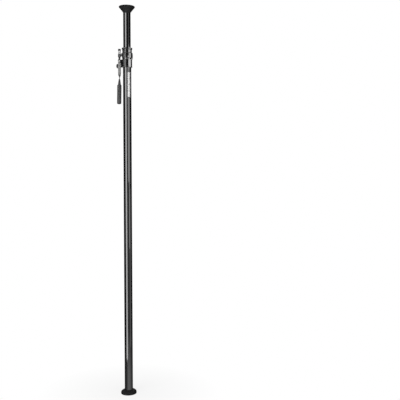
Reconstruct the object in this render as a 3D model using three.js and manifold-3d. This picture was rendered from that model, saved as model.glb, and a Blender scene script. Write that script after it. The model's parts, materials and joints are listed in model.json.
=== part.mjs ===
// A telescopic floor to ceiling tension pole with a cam lever lock.
// Millimetres, +Z up. The origin is on the pole's axis, at the bottom of the floor cup.
// +X is to the right and the lever hangs on the left, at -X. +Y points to the back.

import * as THREE from 'three';
import { mergeVertices } from 'three/addons/utils/BufferGeometryUtils.js';
import Module from 'manifold-3d';

const wasm = await Module();
wasm.setup();

// Clearances
const SEAT_GAP = 0.3;
const CUT_OVERRUN = 2;

// Facets
const TUBE_SIDES = 36;
const CUP_SIDES = 40;
const SMALL_SIDES = 18;
const SCREW_SIDES = 12;
const HEX_SIDES = 6;
const FLAT_SIDES = 12;
const FLAT_TURN_DEG = -8;
const CORNER_STEPS = 4;

// Tubes
const OUTER_TUBE_R = 22.5;
const TUBE_WALL = 1.5;
const TUBE_PLAY = 1;
const OUTER_TUBE_LENGTH = 1782;
const INNER_TUBE_SHOWN = 183;
const INNER_TUBE_FOOT_SPACE = 20;

// Floor cup
const FOOT_RIM_OUT = 20;
const FOOT_RIM_H = 7;
const FOOT_CUP_H = 20;
const FOOT_NECK_OUT = 1.5;
const FOOT_FLARE_SHARES = [
  [1, 0],
  [0.93, 0.3],
  [0.72, 0.6],
  [0.42, 0.84],
  [0.14, 0.96],
  [0, 1],
];

// Ceiling cup
const TOP_RIM_OUT = 22.5;
const TOP_RIM_H = 2.5;
const TOP_CUP_H = 33;
const TOP_NECK_IN = 0.6;
const TOP_FLARE_SHARES = [
  [1, 0],
  [0.96, 0.06],
  [0.5, 0.47],
  [0.09, 0.88],
  [0, 1],
];

// What both cups share
const CUP_RIM_EDGE = 0.9;
const SUCKER_LAND = 9.5;
const SUCKER_DEPTH = 3;
const SUCKER_BEVEL = 1.2;
const SCREW_WELL_R = 9;
const SCREW_WELL_DEPTH = 9;

// Plugs, washers and screws of the two ends
const PLUG_FLANGE_T = 3;
const PLUG_SPIGOT_H = 38;
const PLUG_CHAMFER = 1.5;
const END_SCREW_R = 3;
const END_SCREW_HEAD_R = 6;
const END_SCREW_HEAD_H = 3.5;
const END_SCREW_LENGTH = 40;
const END_SCREW_SOCKET_R = 2.9;
const END_SCREW_SOCKET_DEPTH = 2;
const END_WASHER_R = 8.4;
const END_WASHER_T = 1.5;

// Lower lock casting
const COLLAR_WALL = 4;
const COLLAR_LIP = 0.7;
const COLLAR_LIP_H = 5;
const COLLAR_GRIP = 30;
const COLLAR_BODY_H = 43;
const COLLAR_EDGE = 0.4;
const NECK_STEP = 1.4;
const NECK_H = 22;
const NECK_EDGE = 0.8;

// Pinch ears at the back of the casting
const EAR_OUT = 10;
const EAR_T = 7;
const EAR_SLOT = 2;
const EAR_INSET = 3;
const EAR_ROUND = 3;
const PINCH_COUNT = 2;
const PINCH_SCREW_R = 2;
const PINCH_HEAD_R = 3.6;
const PINCH_HEAD_H = 3.2;
const PINCH_NUT_R = 4;
const PINCH_NUT_H = 3.2;
const PINCH_AXIS_SHARE = 0.62;

// Lever pivot on the casting's lug
const PIVOT_OUT = 13;
const PIVOT_RISE = 35;
const PIVOT_PIN_R = 3;
const PIVOT_HEAD_R = 4.6;
const PIVOT_HEAD_H = 1.6;
const PIVOT_TAIL = 3;
const PIN_CLIP_R = 4.8;
const PIN_CLIP_T = 1;
const LUG_CLEAR = 0.7;
const LUG_DROP = 0.5;
const LUG_ROUND = 1.6;
const CHEEK_R = 7;
const FRONT_CHEEK_T = 4.2;
const REAR_CHEEK_T = 7.7;
const CHEEK_FOOT_DROP = 12;

// Guide bush in the neck
const BUSH_WALL = 1.3;
const BUSH_FLANGE_T = 1.5;

// Guide screw in the carriage's slot
const GUIDE_SCREW_R = 2;
const GUIDE_HEAD_R = 3.6;
const GUIDE_HEAD_H = 2.2;
const GUIDE_SCREW_DROP = 9.1;
const GUIDE_TURN_SHARE = 0.067;
const GUIDE_SLOT_BELOW = 1.8;
const GUIDE_SLOT_ABOVE = 8;

// Sliding carriage
const LEVER_OPEN_DEG = 100;
const CARRIAGE_STROKE = 6;
const CARRIAGE_WALL = 2.3;
const CARRIAGE_LIFT = 6.8;
const CARRIAGE_SPARE = 0.6;
const CARRIAGE_RING_T = 4.7;
const CARRIAGE_SHOULDER = 2.6;
const CARRIAGE_EDGE = 0.8;
const TONGUE_OUT = 3;
const TONGUE_W = 11;
const TONGUE_DROP = 7.5;
const TONGUE_EDGE = 1;
const TONGUE_STEPS = 10;

// One-way clutch
const COLLET_WALL = 1.5;
const COLLET_SEAT_T = 3.2;
const COLLET_LIP = 0.9;
const COLLET_LIP_H = 2;
const COLLET_TOP_WALL = 5;
const COLLET_SLIT = 2;
const COLLET_STUB = 1;

// Release sleeve
const SLEEVE_WALL = 3.4;
const SLEEVE_H = 26;
const SLEEVE_RIM_OUT = 2.5;
const SLEEVE_RIM_H = 7;
const SLEEVE_FLARE_H = 3.4;
const SLEEVE_EDGE = 0.8;
const SLEEVE_TOP_WALL = 4;

// Adjuster bracket
const BARREL_WALL = 2.3;
const BARREL_H = 16.5;
const BARREL_EDGE = 0.7;
const BARREL_WELL_DEPTH = 9;
const ARM_W = 9;
const PAD_T = 2.8;
const PAD_H = 14;
const PAD_HALF_SHARE = 0.09;
const BRACKET_SCREW_SHARE = 0.068;
const BRACKET_SCREW_R = 1.6;
const BRACKET_HEAD_R = 2.6;
const BRACKET_HEAD_H = 1.8;
const BRACKET_SCREW_GRIP = 1.8;

// Push rod
const ROD_R = 4;
const ROD_SHOE_OUT = 2.5;
const ROD_SHOE_H = 3.4;
const ROD_NOSE_R = 12;
const ROD_LENGTH = 34;
const ROD_EDGE = 0.6;

// Adjuster knob, its cap and its set screw
const THREAD_PITCH = 1.25;
const KNOB_TURNS = 2;
const KNOB_LEDGE = 1.5;
const KNOB_H = 15.5;
const KNOB_WAIST = 0.8;
const KNOB_BAND_SHARES = [0.12, 0.2, 0.8, 0.88];
const KNOB_SPIGOT_WALL = 1.1;
const KNOB_GROOVE = 0.5;
const KNOB_GROOVE_H = 3;
const KNOB_CAP_OUT = 0.4;
const KNOB_CAP_H = 11;
const KNOB_CAP_ROUND = 2;
const KNOB_CAP_SPIGOT_H = 2.4;
const SET_SCREW_R = 1;

// Lever
const CAM_R = 13;
const CAM_T = 10;
const CAM_LEAD_DEG = 8;
const CAM_TAIL_DEG = 30;
const CAM_STEPS = 25;
const CAM_HUB_R = 8.4;
const CAM_FLANK_SHARE = 0.92;
const CAM_BOSS_FOOT = 9;
const STRIP_W = 15.4;
const STRIP_T = 3.5;
const STRIP_LENGTH = 60;
const STRIP_LAP = 2;
const TWIST_LENGTH = 31;
const TWIST_STEPS = 12;
const TANG_W = 10;
const TANG_LENGTH = 96;
const LEAN_DEG = 1;

// Grip
const GRIP_R = 11.7;
const GRIP_LENGTH = 134;
const GRIP_NECK_START = 96;
const GRIP_NECK_LENGTH = 30;
const GRIP_NECK_X = 4;
const GRIP_NECK_Y = 7.2;
const GRIP_NECK_R = 8.2;
const GRIP_SHOULDER = 5;
const GRIP_DOME = 5;
const GRIP_SIDES = 20;
const GRIP_STEPS = 5;
const TANG_SPARE = 4;

// Push lock on the back of the strip
const LOCK_DROP = 24.9;
const LOCK_TRAVEL = 3;
const LOCK_HOUSING_LEFT = 4.3;
const LOCK_HOUSING_H = 20;
const LOCK_HOUSING_D = 11.6;
const LOCK_HOUSING_ROUND = 2;
const LOCK_WALL = 2;
const LOCK_PIN_R = 1.8;
const LOCK_STEM_R = 2.6;
const LOCK_FLANGE_R = 3.6;
const LOCK_FLANGE_T = 1;
const LOCK_PLUG_T = 2;
const LOCK_HOLE_DEPTH = 6;
const BUTTON_H = 21.5;
const BUTTON_T = 9.9;
const BUTTON_D = 13.5;
const BUTTON_ROUND = 6.5;
const BUTTON_THREAD_DEPTH = 5;
const LOCK_SPRING_WIRE = 0.3;
const LOCK_SPRING_TURNS = 3;
const LOCK_SPRING_STEPS = 8;
const LOCK_SPRING_SIDES = 5;
const HOUSING_RIVET_R = 1.5;
const HOUSING_RIVET_HEAD_R = 2.7;
const HOUSING_RIVET_HEAD_H = 1;
const HOUSING_RIVET_SPREAD = 14.6;
const HOUSING_RIVET_GRIP = 7;

// Places along the pole, from the floor up
const CUP_SCREW_BORE = END_SCREW_R + SEAT_GAP;
const FOOT_PLUG_Z = FOOT_CUP_H + SEAT_GAP;
const OUTER_TUBE_Z = FOOT_PLUG_Z + PLUG_FLANGE_T + SEAT_GAP;
const OUTER_TUBE_TOP = OUTER_TUBE_Z + OUTER_TUBE_LENGTH;
const COLLAR_Z = OUTER_TUBE_TOP + SEAT_GAP - COLLAR_GRIP;
const COLLAR_BODY_TOP = COLLAR_Z + COLLAR_BODY_H;
const NECK_TOP = COLLAR_BODY_TOP + NECK_H;
const CARRIAGE_Z = COLLAR_BODY_TOP + CARRIAGE_LIFT;
const CARRIAGE_CEILING = NECK_TOP + SEAT_GAP + BUSH_FLANGE_T + CARRIAGE_STROKE + CARRIAGE_SPARE;
const CARRIAGE_TOP = CARRIAGE_CEILING + CARRIAGE_RING_T;
const SLEEVE_Z = CARRIAGE_TOP + SEAT_GAP;
const SLEEVE_TOP = SLEEVE_Z + SLEEVE_H;
const INNER_TUBE_TOP = SLEEVE_TOP + INNER_TUBE_SHOWN;
const TOP_CUP_Z = INNER_TUBE_TOP + SEAT_GAP + PLUG_FLANGE_T + SEAT_GAP;
const POLE_TOP = TOP_CUP_Z + TOP_CUP_H;
const INNER_TUBE_Z = OUTER_TUBE_Z + PLUG_SPIGOT_H + INNER_TUBE_FOOT_SPACE;

// Radii that fit one another
const OUTER_BORE_R = OUTER_TUBE_R - TUBE_WALL;
const INNER_TUBE_R = OUTER_BORE_R - TUBE_PLAY;
const INNER_BORE_R = INNER_TUBE_R - TUBE_WALL;
const FOOT_RIM_R = OUTER_TUBE_R + FOOT_RIM_OUT;
const FOOT_NECK_R = OUTER_TUBE_R + FOOT_NECK_OUT;
const TOP_RIM_R = INNER_TUBE_R + TOP_RIM_OUT;
const TOP_NECK_R = INNER_TUBE_R - TOP_NECK_IN;
const INNER_RUN_R = INNER_TUBE_R + SEAT_GAP;
const CLAMP_R = OUTER_TUBE_R + SEAT_GAP;
const COLLAR_R = CLAMP_R + COLLAR_WALL;
const NECK_R = COLLAR_R - NECK_STEP;
const FLAT_CORNER = 1 / Math.cos(Math.PI / FLAT_SIDES);
const COLLAR_CORNER_R = COLLAR_R * FLAT_CORNER;
const EAR_REACH = COLLAR_R + EAR_OUT;
const BUSH_R = INNER_RUN_R + BUSH_WALL;
const NECK_BORE_R = BUSH_R + SEAT_GAP;
const SKIRT_BORE_R = NECK_R + SEAT_GAP;
const COLLET_R = INNER_RUN_R + COLLET_WALL;
const SLEEVE_BORE_R = COLLET_R + SEAT_GAP;
const SLEEVE_R = SLEEVE_BORE_R + SLEEVE_WALL;
const SLEEVE_CORNER_R = SLEEVE_R * FLAT_CORNER;
const SLEEVE_RIM_R = (SLEEVE_R + SLEEVE_RIM_OUT) * FLAT_CORNER;
const CARRIAGE_R = SKIRT_BORE_R + CARRIAGE_WALL;
const TONGUE_R = CARRIAGE_R + TONGUE_OUT;
const ROD_SHOE_R = ROD_R + ROD_SHOE_OUT;
const KNOB_SPIGOT_R = ROD_R + SEAT_GAP + KNOB_SPIGOT_WALL;
const KNOB_R = KNOB_SPIGOT_R + KNOB_LEDGE;
const KNOB_CAP_R = KNOB_R + KNOB_CAP_OUT;
const BARREL_R = KNOB_SPIGOT_R + SEAT_GAP + BARREL_WALL;

// Lever pivot and what is worked out from it
const PIVOT_REACH = CARRIAGE_R + PIVOT_OUT;
const PIVOT_X = -PIVOT_REACH;
const LUG_FACE = PIVOT_REACH - STRIP_W / 2 - LUG_CLEAR;
const LOCK_HOUSING_RIGHT = STRIP_W / 2 - SEAT_GAP;
const PIVOT_Z = COLLAR_Z + PIVOT_RISE;
const CHEEK_INNER = CAM_T / 2 + SEAT_GAP;
const FRONT_CHEEK_Y = -CHEEK_INNER - FRONT_CHEEK_T;
const REAR_CHEEK_Y = CHEEK_INNER + REAR_CHEEK_T;
const LEVER_OPEN = THREE.MathUtils.degToRad(LEVER_OPEN_DEG);
const CAM_FALL = CARRIAGE_STROKE / LEVER_OPEN;
const ROD_Z = PIVOT_Z + CAM_R + SEAT_GAP;
const ROD_DOME_H = ROD_NOSE_R - Math.sqrt(ROD_NOSE_R ** 2 - ROD_SHOE_R ** 2);
const ROD_TRAVEL = KNOB_TURNS * THREAD_PITCH;
const BARREL_Z = ROD_Z + ROD_DOME_H + ROD_SHOE_H + ROD_TRAVEL + SEAT_GAP;
const BARREL_TOP = BARREL_Z + BARREL_H;
const KNOB_Z = BARREL_TOP + SEAT_GAP;
const GUIDE_SCREW_Z = NECK_TOP - GUIDE_SCREW_DROP;
const GUIDE_TURN = -Math.PI / 2 + 2 * Math.PI * GUIDE_TURN_SHARE;

// Materials
const BLACK_PAINT = { color: 0x1c1c1e, roughness: 0.5, metalness: 0.3 };
const RUBBER = { color: 0x262626, roughness: 0.85, metalness: 0 };
const STEEL = { color: 0xb4b4b2, roughness: 0.3, metalness: 1 };
const CAST_GREY = { color: 0x77787a, roughness: 0.5, metalness: 0.8 };
const DARK_STEEL = { color: 0x3a3a3c, roughness: 0.4, metalness: 0.9 };
const PLASTIC = { color: 0x151515, roughness: 0.55, metalness: 0 };
const PALE_PLASTIC = { color: 0xc8c8c4, roughness: 0.5, metalness: 0 };
const BLACK_TUBE = { color: 0x202124, roughness: 0.28, metalness: 0.6 };

// Solids: closed meshes that can be joined and cut

function toSolid(geometry) {
  const bare = geometry.clone();
  bare.deleteAttribute('normal');
  bare.deleteAttribute('uv');
  const merged = mergeVertices(bare);
  const points = merged.attributes.position;
  const index = merged.index.array;
  const triangles = [];
  const a = new THREE.Vector3();
  const b = new THREE.Vector3();
  const c = new THREE.Vector3();
  let volume = 0;
  for (let i = 0; i < index.length; i += 3) {
    const [p, q, r] = [index[i], index[i + 1], index[i + 2]];
    if (p === q || q === r || r === p) continue;
    triangles.push(p, q, r);
    a.fromBufferAttribute(points, p);
    b.fromBufferAttribute(points, q);
    c.fromBufferAttribute(points, r);
    volume += a.dot(b.cross(c));
  }
  if (volume < 0) triangles.reverse();
  return new wasm.Manifold(
    new wasm.Mesh({
      numProp: 3,
      vertProperties: new Float32Array(points.array),
      triVerts: new Uint32Array(triangles),
    }),
  );
}

function toGeometry(solid) {
  const mesh = solid.getMesh();
  const geometry = new THREE.BufferGeometry();
  geometry.setAttribute('position', new THREE.BufferAttribute(new Float32Array(mesh.vertProperties), 3));
  geometry.setIndex(new THREE.BufferAttribute(new Uint32Array(mesh.triVerts), 1));
  geometry.computeVertexNormals();
  return geometry;
}

function join(...solids) {
  return solids.reduce((whole, solid) => whole.add(solid));
}

function cut(solid, ...tools) {
  return tools.reduce((whole, tool) => whole.subtract(tool), solid);
}

// Turns a closed outline of [radius, height] round the Z axis
function turned(outline, sides = TUBE_SIDES) {
  const points = outline.map(([r, z]) => new THREE.Vector2(r, z));
  const onAxis = outline[0][0] === 0 && outline[outline.length - 1][0] === 0;
  if (!onAxis) points.push(points[0].clone());
  return toSolid(new THREE.LatheGeometry(points, sides).rotateX(Math.PI / 2));
}

// Turns an outline whose radii are those of the corners between twelve flats
function flatted(outline) {
  return turned(outline, FLAT_SIDES).rotate([0, 0, FLAT_TURN_DEG]);
}

function rod(radius, z0, z1, sides = SMALL_SIDES) {
  return turned([[0, z0], [radius, z0], [radius, z1], [0, z1]], sides);
}

function pipe(outer, inner, z0, z1, sides = TUBE_SIDES) {
  return turned([[inner, z0], [outer, z0], [outer, z1], [inner, z1]], sides);
}

function block(x0, x1, y0, y1, z0, z1) {
  const box = new THREE.BoxGeometry(x1 - x0, y1 - y0, z1 - z0);
  return toSolid(box.translate((x0 + x1) / 2, (y0 + y1) / 2, (z0 + z1) / 2));
}

// Extrudes an outline drawn in X and Z along Y, from y0 to y1
function slab(shape, y0, y1, steps = CORNER_STEPS) {
  const flat = new THREE.ExtrudeGeometry(shape, {
    depth: y1 - y0,
    bevelEnabled: false,
    curveSegments: steps,
  });
  return toSolid(flat.rotateX(Math.PI / 2).translate(0, y1, 0));
}

// Lays a solid that stands on Z along another axis
function moved(solid, place, turn = [0, 0, 0]) {
  const matrix = new THREE.Matrix4().makeRotationFromEuler(new THREE.Euler(...turn));
  matrix.setPosition(...place);
  return solid.transform(matrix.elements);
}

const ALONG_X = [0, Math.PI / 2, 0];
const ALONG_Y = [-Math.PI / 2, 0, 0];

// Stands a solid built on Z out from the pole's axis at an angle round it
function radial(solid, angle, z) {
  const matrix = new THREE.Matrix4().makeRotationZ(angle);
  matrix.multiply(new THREE.Matrix4().makeRotationY(Math.PI / 2));
  matrix.setPosition(0, 0, z);
  return solid.transform(matrix.elements);
}

// Rounded rectangle from x0, z0 to x1, z1
function roundedShape(x0, z0, x1, z1, round) {
  const shape = new THREE.Shape();
  shape.moveTo(x0 + round, z0);
  shape.lineTo(x1 - round, z0);
  shape.absarc(x1 - round, z0 + round, round, -Math.PI / 2, 0);
  shape.lineTo(x1, z1 - round);
  shape.absarc(x1 - round, z1 - round, round, 0, Math.PI / 2);
  shape.lineTo(x0 + round, z1);
  shape.absarc(x0 + round, z1 - round, round, Math.PI / 2, Math.PI);
  shape.lineTo(x0, z0 + round);
  shape.absarc(x0 + round, z0 + round, round, Math.PI, Math.PI * 1.5);
  return shape;
}

// Skins a row of closed rings, each with as many points, and closes both ends
function lofted(rings) {
  const count = rings[0].length;
  const points = rings.flat();
  const triangles = [];
  for (let i = 0; i < rings.length - 1; i += 1) {
    for (let j = 0; j < count; j += 1) {
      const next = (j + 1) % count;
      const [a, b] = [i * count + j, i * count + next];
      const [c, d] = [a + count, b + count];
      triangles.push(a, b, d, a, d, c);
    }
  }
  const last = (rings.length - 1) * count;
  for (let j = 1; j < count - 1; j += 1) {
    triangles.push(0, j + 1, j);
    triangles.push(last, last + j, last + j + 1);
  }
  const geometry = new THREE.BufferGeometry();
  geometry.setAttribute('position', new THREE.Float32BufferAttribute(points.flatMap((p) => p.toArray()), 3));
  geometry.setIndex(triangles);
  return toSolid(geometry);
}

// The finished group

const group = new THREE.Group();

function addPiece(name, solid, look) {
  const mesh = new THREE.Mesh(toGeometry(solid), new THREE.MeshStandardMaterial(look));
  mesh.name = name;
  group.add(mesh);
}

// Rubber cups and what fastens them

// Outline of a cup that stands on its rim at zero, flaring from its neck
function cupOutline(rimR, rimH, neckR, height, shares) {
  const flare = shares.map(([out, up]) => [
    neckR + (rimR - neckR) * out,
    rimH + (height - rimH) * up,
  ]);
  return [
    [CUP_SCREW_BORE, SCREW_WELL_DEPTH],
    [SCREW_WELL_R, SCREW_WELL_DEPTH],
    [SCREW_WELL_R, SUCKER_DEPTH],
    [rimR - SUCKER_LAND, SUCKER_DEPTH],
    [rimR - SUCKER_LAND + SUCKER_BEVEL, 0],
    [rimR - CUP_RIM_EDGE, 0],
    [rimR, CUP_RIM_EDGE],
    ...flare,
    [CUP_SCREW_BORE, height],
  ];
}

function plugOutline(flangeR, spigotR) {
  return [
    [CUP_SCREW_BORE, 0],
    [flangeR, 0],
    [flangeR, PLUG_FLANGE_T],
    [spigotR, PLUG_FLANGE_T],
    [spigotR, PLUG_FLANGE_T + PLUG_SPIGOT_H - PLUG_CHAMFER],
    [spigotR - PLUG_CHAMFER, PLUG_FLANGE_T + PLUG_SPIGOT_H],
    [CUP_SCREW_BORE, PLUG_FLANGE_T + PLUG_SPIGOT_H],
  ];
}

function endWasher() {
  const z = SCREW_WELL_DEPTH - SEAT_GAP;
  return pipe(END_WASHER_R, CUP_SCREW_BORE, z - END_WASHER_T, z, SMALL_SIDES);
}

function endScrew() {
  const headTop = SCREW_WELL_DEPTH - SEAT_GAP - END_WASHER_T - SEAT_GAP;
  const headFoot = headTop - END_SCREW_HEAD_H;
  const body = join(
    rod(END_SCREW_HEAD_R, headFoot, headTop),
    rod(END_SCREW_R, headFoot + END_SCREW_HEAD_H / 2, headTop + END_SCREW_LENGTH),
  );
  const socket = rod(END_SCREW_SOCKET_R, headFoot - CUT_OVERRUN, headFoot + END_SCREW_SOCKET_DEPTH, HEX_SIDES);
  return cut(body, socket);
}

function footEnd() {
  const cup = turned(cupOutline(FOOT_RIM_R, FOOT_RIM_H, FOOT_NECK_R, FOOT_CUP_H, FOOT_FLARE_SHARES), CUP_SIDES);
  const plug = turned(plugOutline(OUTER_TUBE_R, OUTER_BORE_R - SEAT_GAP));
  addPiece('foot_cup', cup, RUBBER);
  addPiece('foot_plug', moved(plug, [0, 0, FOOT_PLUG_Z]), PLASTIC);
  addPiece('foot_washer', endWasher(), STEEL);
  addPiece('foot_screw', endScrew(), STEEL);
}

function topEnd() {
  const upsideDown = [Math.PI, 0, 0];
  const cup = turned(cupOutline(TOP_RIM_R, TOP_RIM_H, TOP_NECK_R, TOP_CUP_H, TOP_FLARE_SHARES), CUP_SIDES);
  const plug = turned(plugOutline(INNER_TUBE_R, INNER_BORE_R - SEAT_GAP));
  addPiece('top_plug', moved(plug, [0, 0, TOP_CUP_Z - SEAT_GAP], upsideDown), PLASTIC);
  addPiece('top_cup', moved(cup, [0, 0, POLE_TOP], upsideDown), RUBBER);
  addPiece('top_washer', moved(endWasher(), [0, 0, POLE_TOP], upsideDown), STEEL);
  addPiece('top_screw', moved(endScrew(), [0, 0, POLE_TOP], upsideDown), STEEL);
}

// Tubes

function tubes() {
  const outer = pipe(OUTER_TUBE_R, OUTER_BORE_R, OUTER_TUBE_Z, OUTER_TUBE_TOP);
  const inner = pipe(INNER_TUBE_R, INNER_BORE_R, INNER_TUBE_Z, INNER_TUBE_TOP);
  const bush = turned([
    [INNER_BORE_R - SEAT_GAP - BUSH_WALL * 2, INNER_TUBE_Z - SEAT_GAP - PLUG_FLANGE_T],
    [OUTER_BORE_R - SEAT_GAP, INNER_TUBE_Z - SEAT_GAP - PLUG_FLANGE_T],
    [OUTER_BORE_R - SEAT_GAP, INNER_TUBE_Z - SEAT_GAP],
    [INNER_BORE_R - SEAT_GAP, INNER_TUBE_Z - SEAT_GAP],
    [INNER_BORE_R - SEAT_GAP, INNER_TUBE_Z + PLUG_SPIGOT_H / 2],
    [INNER_BORE_R - SEAT_GAP - BUSH_WALL * 2, INNER_TUBE_Z + PLUG_SPIGOT_H / 2],
  ]);
  addPiece('outer_tube', outer, BLACK_TUBE);
  addPiece('inner_tube', inner, BLACK_TUBE);
  addPiece('slide_bush', bush, PALE_PLASTIC);
}

// Lower lock casting

function collarBlank() {
  const lipR = COLLAR_CORNER_R + COLLAR_LIP;
  const lipTop = COLLAR_Z + COLLAR_LIP_H;
  const body = flatted([
    [0, COLLAR_Z],
    [lipR - COLLAR_LIP, COLLAR_Z],
    [lipR, COLLAR_Z + COLLAR_LIP],
    [lipR, lipTop - COLLAR_LIP],
    [COLLAR_CORNER_R, lipTop],
    [COLLAR_CORNER_R, COLLAR_BODY_TOP - COLLAR_EDGE],
    [COLLAR_CORNER_R - COLLAR_EDGE, COLLAR_BODY_TOP],
    [0, COLLAR_BODY_TOP],
  ]);
  const neck = turned([
    [0, COLLAR_BODY_TOP - COLLAR_LIP_H],
    [NECK_R, COLLAR_BODY_TOP - COLLAR_LIP_H],
    [NECK_R, NECK_TOP - NECK_EDGE],
    [NECK_R - NECK_EDGE, NECK_TOP],
    [0, NECK_TOP],
  ]);
  return join(body, neck);
}

function collarBore() {
  const shoulderZ = OUTER_TUBE_TOP + SEAT_GAP;
  return turned([
    [0, COLLAR_Z - CUT_OVERRUN],
    [CLAMP_R, COLLAR_Z - CUT_OVERRUN],
    [CLAMP_R, shoulderZ],
    [NECK_BORE_R, shoulderZ],
    [NECK_BORE_R, NECK_TOP + CUT_OVERRUN],
    [0, NECK_TOP + CUT_OVERRUN],
  ]);
}

// The lug and its two cheeks, seen from the front
function lugShape() {
  const [x, z] = [PIVOT_X, PIVOT_Z];
  const shape = new THREE.Shape();
  shape.moveTo(-CLAMP_R - TUBE_WALL, COLLAR_Z + LUG_DROP);
  shape.lineTo(-CLAMP_R - TUBE_WALL, COLLAR_BODY_TOP - NECK_EDGE);
  shape.lineTo(-NECK_R - NECK_EDGE, COLLAR_BODY_TOP - NECK_EDGE);
  shape.lineTo(x, z + CHEEK_R);
  shape.absarc(x, z, CHEEK_R, Math.PI / 2, Math.PI * 1.5);
  shape.lineTo(-LUG_FACE, z - CHEEK_FOOT_DROP);
  shape.lineTo(-LUG_FACE, COLLAR_Z + LUG_DROP + LUG_ROUND);
  shape.lineTo(-LUG_FACE + LUG_ROUND, COLLAR_Z + LUG_DROP);
  return shape;
}

const CAM_POCKET_R = CAM_R + SEAT_GAP * 3;

function camPocket() {
  return moved(rod(CAM_POCKET_R, -CHEEK_INNER, CHEEK_INNER, TUBE_SIDES), [PIVOT_X, 0, PIVOT_Z], ALONG_Y);
}

function collarLug() {
  const lug = slab(lugShape(), FRONT_CHEEK_Y, REAR_CHEEK_Y);
  const mouth = block(
    PIVOT_X - CAM_POCKET_R,
    -LUG_FACE,
    -CHEEK_INNER,
    CHEEK_INNER,
    COLLAR_Z - CUT_OVERRUN,
    PIVOT_Z,
  );
  return cut(lug, mouth);
}

function collarEars() {
  const ears = block(
    -EAR_SLOT / 2 - EAR_T,
    EAR_SLOT / 2 + EAR_T,
    OUTER_TUBE_R + TUBE_WALL,
    EAR_REACH - EAR_ROUND,
    COLLAR_Z + EAR_INSET - LUG_DROP,
    COLLAR_BODY_TOP - EAR_INSET,
  );
  const nose = block(
    -EAR_SLOT / 2 - EAR_T,
    EAR_SLOT / 2 + EAR_T,
    OUTER_TUBE_R + TUBE_WALL,
    EAR_REACH,
    COLLAR_Z + EAR_INSET - LUG_DROP + EAR_ROUND,
    COLLAR_BODY_TOP - EAR_INSET - EAR_ROUND,
  );
  return join(ears, nose);
}

function pinchZ(i) {
  const low = COLLAR_Z + EAR_INSET + EAR_ROUND + PINCH_HEAD_R;
  const high = COLLAR_BODY_TOP - EAR_INSET - EAR_ROUND - PINCH_HEAD_R;
  return low + (high - low) * (i / (PINCH_COUNT - 1));
}

const PINCH_Y = COLLAR_R + (EAR_REACH - COLLAR_R) * PINCH_AXIS_SHARE;
const PINCH_FACE = EAR_SLOT / 2 + EAR_T;

function pinchHoles() {
  const holes = [];
  for (let i = 0; i < PINCH_COUNT; i += 1) {
    const reach = PINCH_FACE + CUT_OVERRUN;
    holes.push(moved(rod(PINCH_SCREW_R + SEAT_GAP, -reach, reach, SCREW_SIDES), [0, PINCH_Y, pinchZ(i)], ALONG_X));
  }
  return holes;
}

function collarBody() {
  const slot = block(
    -EAR_SLOT / 2,
    EAR_SLOT / 2,
    OUTER_TUBE_R - TUBE_WALL,
    EAR_REACH + CUT_OVERRUN,
    COLLAR_Z - CUT_OVERRUN,
    COLLAR_BODY_TOP - EAR_INSET,
  );
  const pinHole = moved(
    rod(PIVOT_PIN_R + SEAT_GAP, FRONT_CHEEK_Y - CUT_OVERRUN, REAR_CHEEK_Y + CUT_OVERRUN),
    [PIVOT_X, 0, PIVOT_Z],
    ALONG_Y,
  );
  const guideHole = radial(rod(GUIDE_SCREW_R + SEAT_GAP, INNER_TUBE_R, CARRIAGE_R, SCREW_SIDES), GUIDE_TURN, GUIDE_SCREW_Z);
  const lockHole = moved(
    rod(LOCK_PIN_R + SEAT_GAP, -LOCK_HOLE_DEPTH, CUT_OVERRUN, SCREW_SIDES),
    [-LUG_FACE, LOCK_Y, LOCK_Z],
    [0, -Math.PI / 2, 0],
  );
  const whole = join(collarBlank(), collarLug(), collarEars());
  addPiece('collar_body', cut(whole, collarBore(), camPocket(), slot, pinHole, guideHole, lockHole, ...pinchHoles()), BLACK_PAINT);
}

function pinchFasteners() {
  for (let i = 0; i < PINCH_COUNT; i += 1) {
    const headFoot = PINCH_FACE + SEAT_GAP;
    const tip = -PINCH_FACE - SEAT_GAP - PINCH_NUT_H;
    const screw = cut(
      join(
        rod(PINCH_HEAD_R, headFoot, headFoot + PINCH_HEAD_H, SCREW_SIDES),
        rod(PINCH_SCREW_R, tip, headFoot + PINCH_HEAD_H / 2, SCREW_SIDES),
      ),
      rod(PINCH_HEAD_R / 2, headFoot + PINCH_HEAD_H / 2, headFoot + PINCH_HEAD_H + CUT_OVERRUN, HEX_SIDES),
    );
    const nut = cut(
      rod(PINCH_NUT_R, -headFoot - PINCH_NUT_H, -headFoot, HEX_SIDES),
      rod(PINCH_SCREW_R + SEAT_GAP, -headFoot - PINCH_NUT_H - CUT_OVERRUN, CUT_OVERRUN, SCREW_SIDES),
    );
    const place = [0, PINCH_Y, pinchZ(i)];
    addPiece(`pinch_screw_${i + 1}`, moved(screw, place, ALONG_X), STEEL);
    addPiece(`pinch_nut_${i + 1}`, moved(nut, place, ALONG_X), STEEL);
  }
}

function guideBush() {
  const foot = OUTER_TUBE_TOP + SEAT_GAP * 2;
  const flangeZ = NECK_TOP + SEAT_GAP;
  const bush = turned([
    [INNER_RUN_R, foot],
    [BUSH_R, foot],
    [BUSH_R, flangeZ],
    [NECK_R - NECK_EDGE, flangeZ],
    [NECK_R - NECK_EDGE, flangeZ + BUSH_FLANGE_T],
    [INNER_RUN_R, flangeZ + BUSH_FLANGE_T],
  ]);
  addPiece('guide_bush', bush, PALE_PLASTIC);
}

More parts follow.
